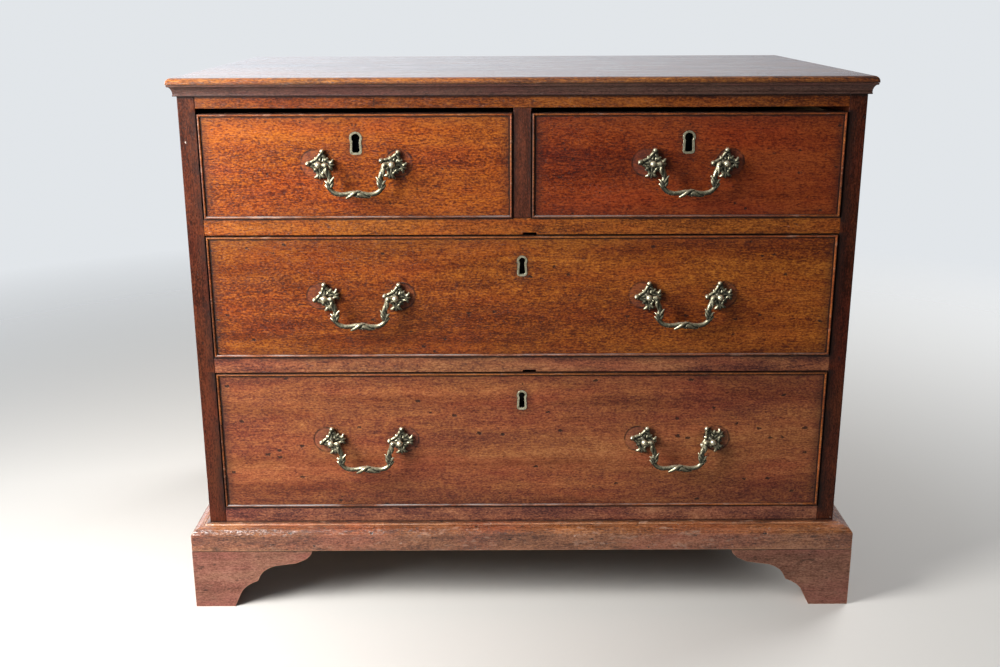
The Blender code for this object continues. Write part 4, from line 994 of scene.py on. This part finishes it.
def floor():
    """A pale floor that fades into the pale surroundings, and throws less light back
    than the camera sees of it."""
    bm = bmesh.new()
    bmesh.ops.create_circle(bm, cap_ends=True, segments=96, radius=FLOOR_RADIUS)
    mesh = bpy.data.meshes.new("floor")
    bm.to_mesh(mesh)
    bm.free()
    piece = bpy.data.objects.new("floor", mesh)
    bpy.context.scene.collection.objects.link(piece)
    n = Nodes(bpy.data.materials.new("floor"))
    seen = n.tree.nodes.new("ShaderNodeLightPath").outputs["Is Camera Ray"]
    n.put(n.shader.inputs["Base Color"], n.mix(seen, FLOOR_BOUNCE, FLOOR_COLOUR))
    n.shader.inputs["Roughness"].default_value = 0.85
    near, far = FLOOR_FADE_SHARES
    fade = n.range(n.vector("LENGTH", n.place()), near * FLOOR_RADIUS, far * FLOOR_RADIUS)
    clear = n.tree.nodes.new("ShaderNodeBsdfTransparent").outputs[0]
    blend = n.add("ShaderNodeMixShader", {0: fade, 1: n.shader.outputs[0], 2: clear})
    output = n.tree.nodes["Material Output"]
    n.put(output.inputs["Surface"], blend.outputs[0])
    mesh.materials.append(n.block)


def sky():
    """Plain soft light all round. Cameras see it as pale grey, and reflections see it
    pale behind the chest and on its left, and dim in front, where the viewer stands."""
    world = bpy.data.worlds.new("pale")
    bpy.context.scene.world = world
    n = Nodes(world)
    x, y, _ = n.split(n.tree.nodes.new("ShaderNodeTexCoord").outputs["Generated"])
    shine = n.mix(n.range(y, *SHINE_TURN), FRONT_SHINE, BACK_SHINE)
    fall = n.range(x, -SHINE_FALL_REACH, SHINE_FALL_REACH, *SHINE_FALL_SHARES)
    shine = n.mix(1.0, shine, n.join(fall, fall, fall), "MULTIPLY")
    path = n.tree.nodes.new("ShaderNodeLightPath").outputs
    light = n.add("ShaderNodeBackground", {0: SKY_COLOUR, 1: SKY_STRENGTH}).outputs[0]
    gloss = n.add("ShaderNodeBackground", {0: shine, 1: 1.0}).outputs[0]
    seen = n.add("ShaderNodeBackground", {0: PALE_COLOUR, 1: 1.0}).outputs[0]
    blend = n.add("ShaderNodeMixShader", {0: path["Is Glossy Ray"], 1: light, 2: gloss})
    blend = n.add("ShaderNodeMixShader", {0: path["Is Camera Ray"], 1: blend.outputs[0], 2: seen})
    n.put(n.tree.nodes["World Output"].inputs["Surface"], blend.outputs[0])


def lamp(name, place, aim, size, power, colour=(1, 1, 1), mirrored_by_gloss=True):
    """A soft rectangular lamp, which a glossy surface may mirror."""
    light = bpy.data.lights.new(name, "AREA")
    light.shape = "RECTANGLE"
    light.size, light.size_y = size
    light.energy = power
    light.color = colour
    holder = bpy.data.objects.new(name, light)
    holder.location = place
    holder.rotation_euler = (Vector(aim) - Vector(place)).to_track_quat("-Z", "Y").to_euler()
    holder.visible_camera = False
    holder.visible_glossy = mirrored_by_gloss
    bpy.context.scene.collection.objects.link(holder)


def camera():
    """The photograph's camera."""
    yaw = Matrix.Rotation(math.radians(CAMERA_YAW), 3, "Z")
    pitch = Matrix.Rotation(math.radians(90 - CAMERA_PITCH), 3, "X")
    roll = Matrix.Rotation(math.radians(CAMERA_ROLL), 3, "Z")
    data = bpy.data.cameras.new("camera")
    data.sensor_width = SENSOR_WIDTH
    data.lens = FOCAL_SHARE * SENSOR_WIDTH
    holder = bpy.data.objects.new("camera", data)
    holder.matrix_world = Matrix.Translation(CAMERA_PLACE) @ (yaw @ pitch @ roll).to_4x4()
    bpy.context.scene.collection.objects.link(holder)
    bpy.context.scene.camera = holder


dress_case()
dress_drawers()
dress_metal()
floor()
sky()
lamp("key", KEY_PLACE, KEY_AIM, KEY_SIZE, KEY_POWER, KEY_COLOUR)
lamp("side", SIDE_PLACE, SIDE_AIM, SIDE_SIZE, SIDE_POWER, mirrored_by_gloss=False)
lamp("front", FRONT_PLACE, SIDE_AIM, FRONT_SIZE, FRONT_POWER)
camera()
bpy.context.scene.view_settings.view_transform = "Standard"
